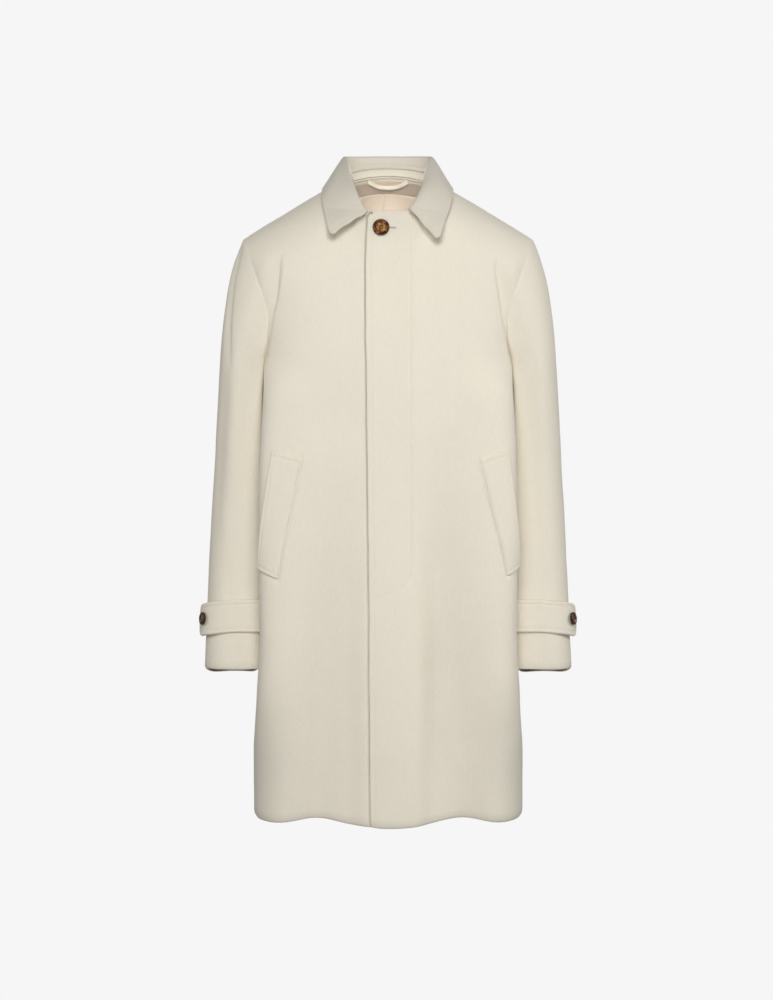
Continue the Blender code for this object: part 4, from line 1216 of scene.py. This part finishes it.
for node, sheet in sheets.items():
    cloth = dict(back_lining=satin, back_neck_facing=facingWool, collar_leaf=collarWoolPaintedShade).get(node, wool)
    # the insides of the sleeves take the dark satin: painted shade
    behind = sleeveSatin if node.endswith("_sleeve") else None
    clothPiece(sheet, node + "_cloth", cloth, behind)
print("cloth pieces made")

# how each piece is held: the pieces it hangs from
backs = ["back_left_cloth", "back_right_cloth"]
holders = dict(collar_leaf=["collar_stand_cloth"], collar_stand=backs, back_neck_facing=backs,
               back_lining=["back_neck_facing_cloth"])
for word in ("left", "right"):
    shell = [word + "_front_cloth", "back_" + word + "_cloth"]
    sleeve = [word + "_top_sleeve_cloth", word + "_under_sleeve_cloth"]
    holders.update({word + "_front": shell[1:], "back_" + word: shell[:1], word + "_pocket_welt": shell[:1],
                    word + "_top_sleeve": shell, word + "_under_sleeve": shell,
                    word + "_sleeve_strap": sleeve})

# rows of topstitching
stitchBeds = {}
for edge in turnedEdges:
    if "stitches" in edge:
        bed = stitchBeds.setdefault(edge["stitches"], bmesh.new())
        stitchField(bed, sheets[edge["node"]], edge["field"], edge["inset"], edge.get("keep"))
flyRow = [(0.0348, -0.087), (0.0348, -0.300), (0.0348, -0.596), (0.0330, -0.604), (0.0280, -0.611),
          (0.0050, -0.622), (-0.0185, -0.634)]
laid = projected(flyRow, "front", [treeOf(leftFront)], 240)
addStitches(stitchBeds["front_stitches"], laid[:, :3], laid[:, 3:6])
for name, bed in stitchBeds.items():
    print("  ", name, len(bed.faces), "faces")
    pieceFromBmesh(name, bed, thread)
print("stitches sewn")

buttonForm = dict(
    profile=[(0.54, 0.14), (0.64, 0.18), (0.72, 0.40), (0.80, 0.50), (0.90, 0.46), (0.97, 0.27), (1.0, 0.02),
             (0.97, -0.26), (0.86, -0.45), (0.62, -0.50), (0.0, -0.50)],  # shares of radius and of thickness
    steps=56, holeSteps=14, holeDepth=0.55, lift=0.0011, castOff=0.02, sharp=40.0,
    strand=0.00042, lane=0.0004, strandRise=0.45, strandSunk=0.0006, shank=0.0017, shankTaper=0.8,
    shankSunk=0.001)
buttons = [dict(node="neck_button", on="left_front", facing=(0, -1, 0), radius=0.0127, thick=0.0044,
                hole=0.0011, spread=0.0027, dark=0.0, rise=0.0028)]
for word, side in bothSides:
    buttons.append(dict(node=word + "_strap_button", on=word + "_sleeve_strap", facing=(side, -0.5, 0),
                        radius=0.0100, thick=0.0040, hole=0.0010, spread=0.0023, dark=0.3, outward=0.0035))


# where a button's solid lies and faces, seated on the cloth under it
def buttonPlace(row):
    bm = solidOf(row["node"])
    spots = np.array([v.co for v in bm.verts])
    bm.free()
    middle = spots.mean(axis=0)
    out = Vector(np.linalg.svd(spots - middle)[2][2])
    if out.dot(Vector(row["facing"])) < 0:
        out = -out
    middle[2] += row["rise"] if "rise" in row else -strapFall(middle[0])
    along = out.cross(Vector((0, 0, 1))).normalized()
    middle += np.array(along * math.copysign(row.get("outward", 0.0), along.y))
    hit = treeOf(sheets[row["on"]]).ray_cast(Vector(middle) + out * buttonForm["castOff"], -out)
    lift = max(buttonForm["lift"], (Vector(middle) - hit[0]).dot(out) - row["thick"] / 2)
    print("  ", row["node"], "stands off %.1f mm" % (lift * 1000))
    across = out.cross(Vector((0, 0, 1))).normalized()
    turn = Matrix((across, out.cross(across), out)).transposed().to_4x4()
    return Matrix.Translation(hit[0] + out * (row["thick"] / 2 + lift)) @ turn, lift


def ringEdges(made):
    return list(dict.fromkeys(e for v in made["verts"] for e in v.link_edges))


def closeHoles(bm):
    bmesh.ops.holes_fill(bm, edges=[e for e in bm.edges if e.is_boundary], sides=0)
    bmesh.ops.recalc_face_normals(bm, faces=bm.faces)


def makeButton(row):
    form, radius, thick = buttonForm, row["radius"], row["thick"]
    bm = bmesh.new()
    ring = [bm.verts.new((r * radius, 0.0, h * thick)) for r, h in form["profile"]]
    lines = [bm.edges.new(pair) for pair in zip(ring, ring[1:])]
    bmesh.ops.spin(bm, geom=ring + lines, cent=(0, 0, 0), axis=(0, 0, 1), angle=2 * math.pi,
                   steps=form["steps"], use_merge=True, use_duplicate=False)
    bmesh.ops.remove_doubles(bm, verts=bm.verts, dist=0.000001)
    level = form["profile"][0][1] * thick
    mouth = [e for e in bm.edges if e.is_boundary]
    holes = []
    for k in range(4):
        turn = Matrix.Rotation((k + 0.5) * math.pi / 2, 4, "Z")
        made = bmesh.ops.create_circle(bm, cap_ends=False, segments=form["holeSteps"], radius=row["hole"],
                                       matrix=turn @ Matrix.Translation((row["spread"], 0.0, level)))
        holes += ringEdges(made)
    bmesh.ops.triangle_fill(bm, use_beauty=True, edges=mouth + holes, normal=(0, 0, 1))
    walls = bmesh.ops.extrude_edge_only(bm, edges=holes)
    low = [g for g in walls["geom"] if isinstance(g, bmesh.types.BMVert)]
    bmesh.ops.translate(bm, verts=low, vec=(0, 0, -form["holeDepth"] * thick))
    closeHoles(bm)
    share = bm.verts.layers.float.new("rimShare")
    for v in bm.verts:
        v[share] = math.hypot(v.co.x, v.co.y) / radius + row["dark"]
    place, lift = buttonPlace(row)
    bmesh.ops.transform(bm, matrix=place, verts=bm.verts)
    made = pieceFromBmesh(row["node"] + "_horn", bm, tortoise, row["node"])
    made.data.set_sharp_from_angle(angle=math.radians(form["sharp"]))
    sewing = bmesh.new()
    half, foot = row["spread"] * math.sqrt(0.5), level - form["strandSunk"]
    for y in (half - form["lane"], half + form["lane"], -half - form["lane"], -half + form["lane"]):
        made = bmesh.ops.create_circle(sewing, cap_ends=False, segments=8, radius=form["strand"],
                                       matrix=Matrix.Translation((half, y, foot)))
        bmesh.ops.spin(sewing, geom=made["verts"] + ringEdges(made), cent=(0, y, foot), axis=(0, 1, 0),
                       angle=-math.pi, steps=10, use_duplicate=False)
    bmesh.ops.scale(sewing, vec=(1, 1, form["strandRise"]), space=Matrix.Translation((0, 0, -foot)),
                    verts=sewing.verts)
    bmesh.ops.create_cone(sewing, cap_ends=True, segments=12, radius1=form["shank"],
                          radius2=form["shank"] * form["shankTaper"], depth=lift + form["shankSunk"],
                          matrix=Matrix.Translation((0, 0, -thick / 2 - lift / 2)))
    closeHoles(sewing)
    bmesh.ops.transform(sewing, matrix=place, verts=sewing.verts)
    pieceFromBmesh(row["node"] + "_thread", sewing, brownThread)


for row in buttons:
    makeButton(row)

# the slit is a row of small dark brown stitches: painted shadow in the buttonhole's gap
buttonhole = dict(z=-0.0806, start=-0.0150, end=0.0122, apart=0.0009,
                  whip=dict(length=0.0024, thick=0.00034, lift=0.0001), whipOff=0.0014,
                  slitShadow=dict(pitch=0.0012, length=0.0022, thick=0.00040, lift=0.0002))


def makeButtonhole():
    form = buttonhole
    bm, slitShadow = bmesh.new(), bmesh.new()
    count = int((form["end"] - form["start"]) / form["apart"])
    ends = [(form["start"], form["z"]), (form["end"], form["z"])]
    laid = projected(ends, "front", [treeOf(leftFront)], count)
    addStitches(slitShadow, laid[:, :3], laid[:, 3:6], form["slitShadow"])
    for x, y, z, *facing in laid:
        up = Vector(facing)
        along = up.cross(Vector((1, 0, 0))).normalized()
        for sign in (1, -1):
            layStitch(bm, Vector((x, y, z)) + along * (sign * form["whipOff"]), along, up, form["whip"])
    pieceFromBmesh("buttonhole_edging", bm, thread)
    # dark brown stitches laid along the slit as painted shadow
    pieceFromBmesh("buttonhole_slit_shadow", slitShadow, brownThread)


makeButtonhole()
print("buttons and buttonhole sewn")

# a pressed cloth tube, its two ends sewn flat to the facing
loopForm = dict(half=0.0312, endZ=0.0166, sag=0.0078, slack=2.5, off=0.0028, bow=0.0050, rings=41, sides=18,
                tall=0.0037, deep=0.0022, endDeep=0.0013, endLength=0.012,
                tack=dict(length=0.0052, thick=0.00034, lift=0.0001), tacks=(0.0016, 0.0030, 0.0096, 0.0110))


def makeLoop():
    form = loopForm
    tree = treeOf(sheets["back_neck_facing"])
    spots = []
    for share in np.linspace(-1.0, 1.0, form["rings"]):
        slack = 1.0 - abs(share) ** form["slack"]
        x, z = form["half"] * share, form["endZ"] - form["sag"] * slack
        hit = castBack(tree, x, z, 0.0)
        spots.append((x, hit[0].y - form["off"] - form["bow"] * slack, z))
    spots = np.array(spots)
    soften(spots, 3)
    ways = np.gradient(spots, axis=0)
    bm, tacks, rings = bmesh.new(), bmesh.new(), []
    for spot, way in zip(spots, ways):
        along = Vector(way).normalized()
        toFront = along.cross(Vector((0, 0, 1))).normalized()
        up = toFront.cross(along)
        fromEnd = form["half"] - abs(spot[0])
        deep = form["endDeep"] + (form["deep"] - form["endDeep"]) * ease(fromEnd / form["endLength"])
        turn = Matrix((toFront * deep, up * form["tall"], along)).transposed().to_4x4()
        made = bmesh.ops.create_circle(bm, cap_ends=False, segments=form["sides"], radius=1.0,
                                       matrix=Matrix.Translation(Vector(spot)) @ turn)
        rings.append(ringEdges(made))
    for low, high in zip(rings, rings[1:]):
        bmesh.ops.bridge_loops(bm, edges=low + high)
    closeHoles(bm)
    for sign in (1, -1):
        for inset in form["tacks"]:
            x = sign * (form["half"] - inset)
            here = pointAt(spots, spots[:, 0], x) - Vector((0, form["endDeep"], 0))
            layStitch(tacks, here, Vector((0, 0, 1)), Vector((0, -1, 0)), form["tack"])
    pieceFromBmesh("hanger_loop_cloth", bm, wool, "hanger_loop")
    pieceFromBmesh("hanger_loop_tacks", tacks, thread)


makeLoop()
print("hanger loop sewn")
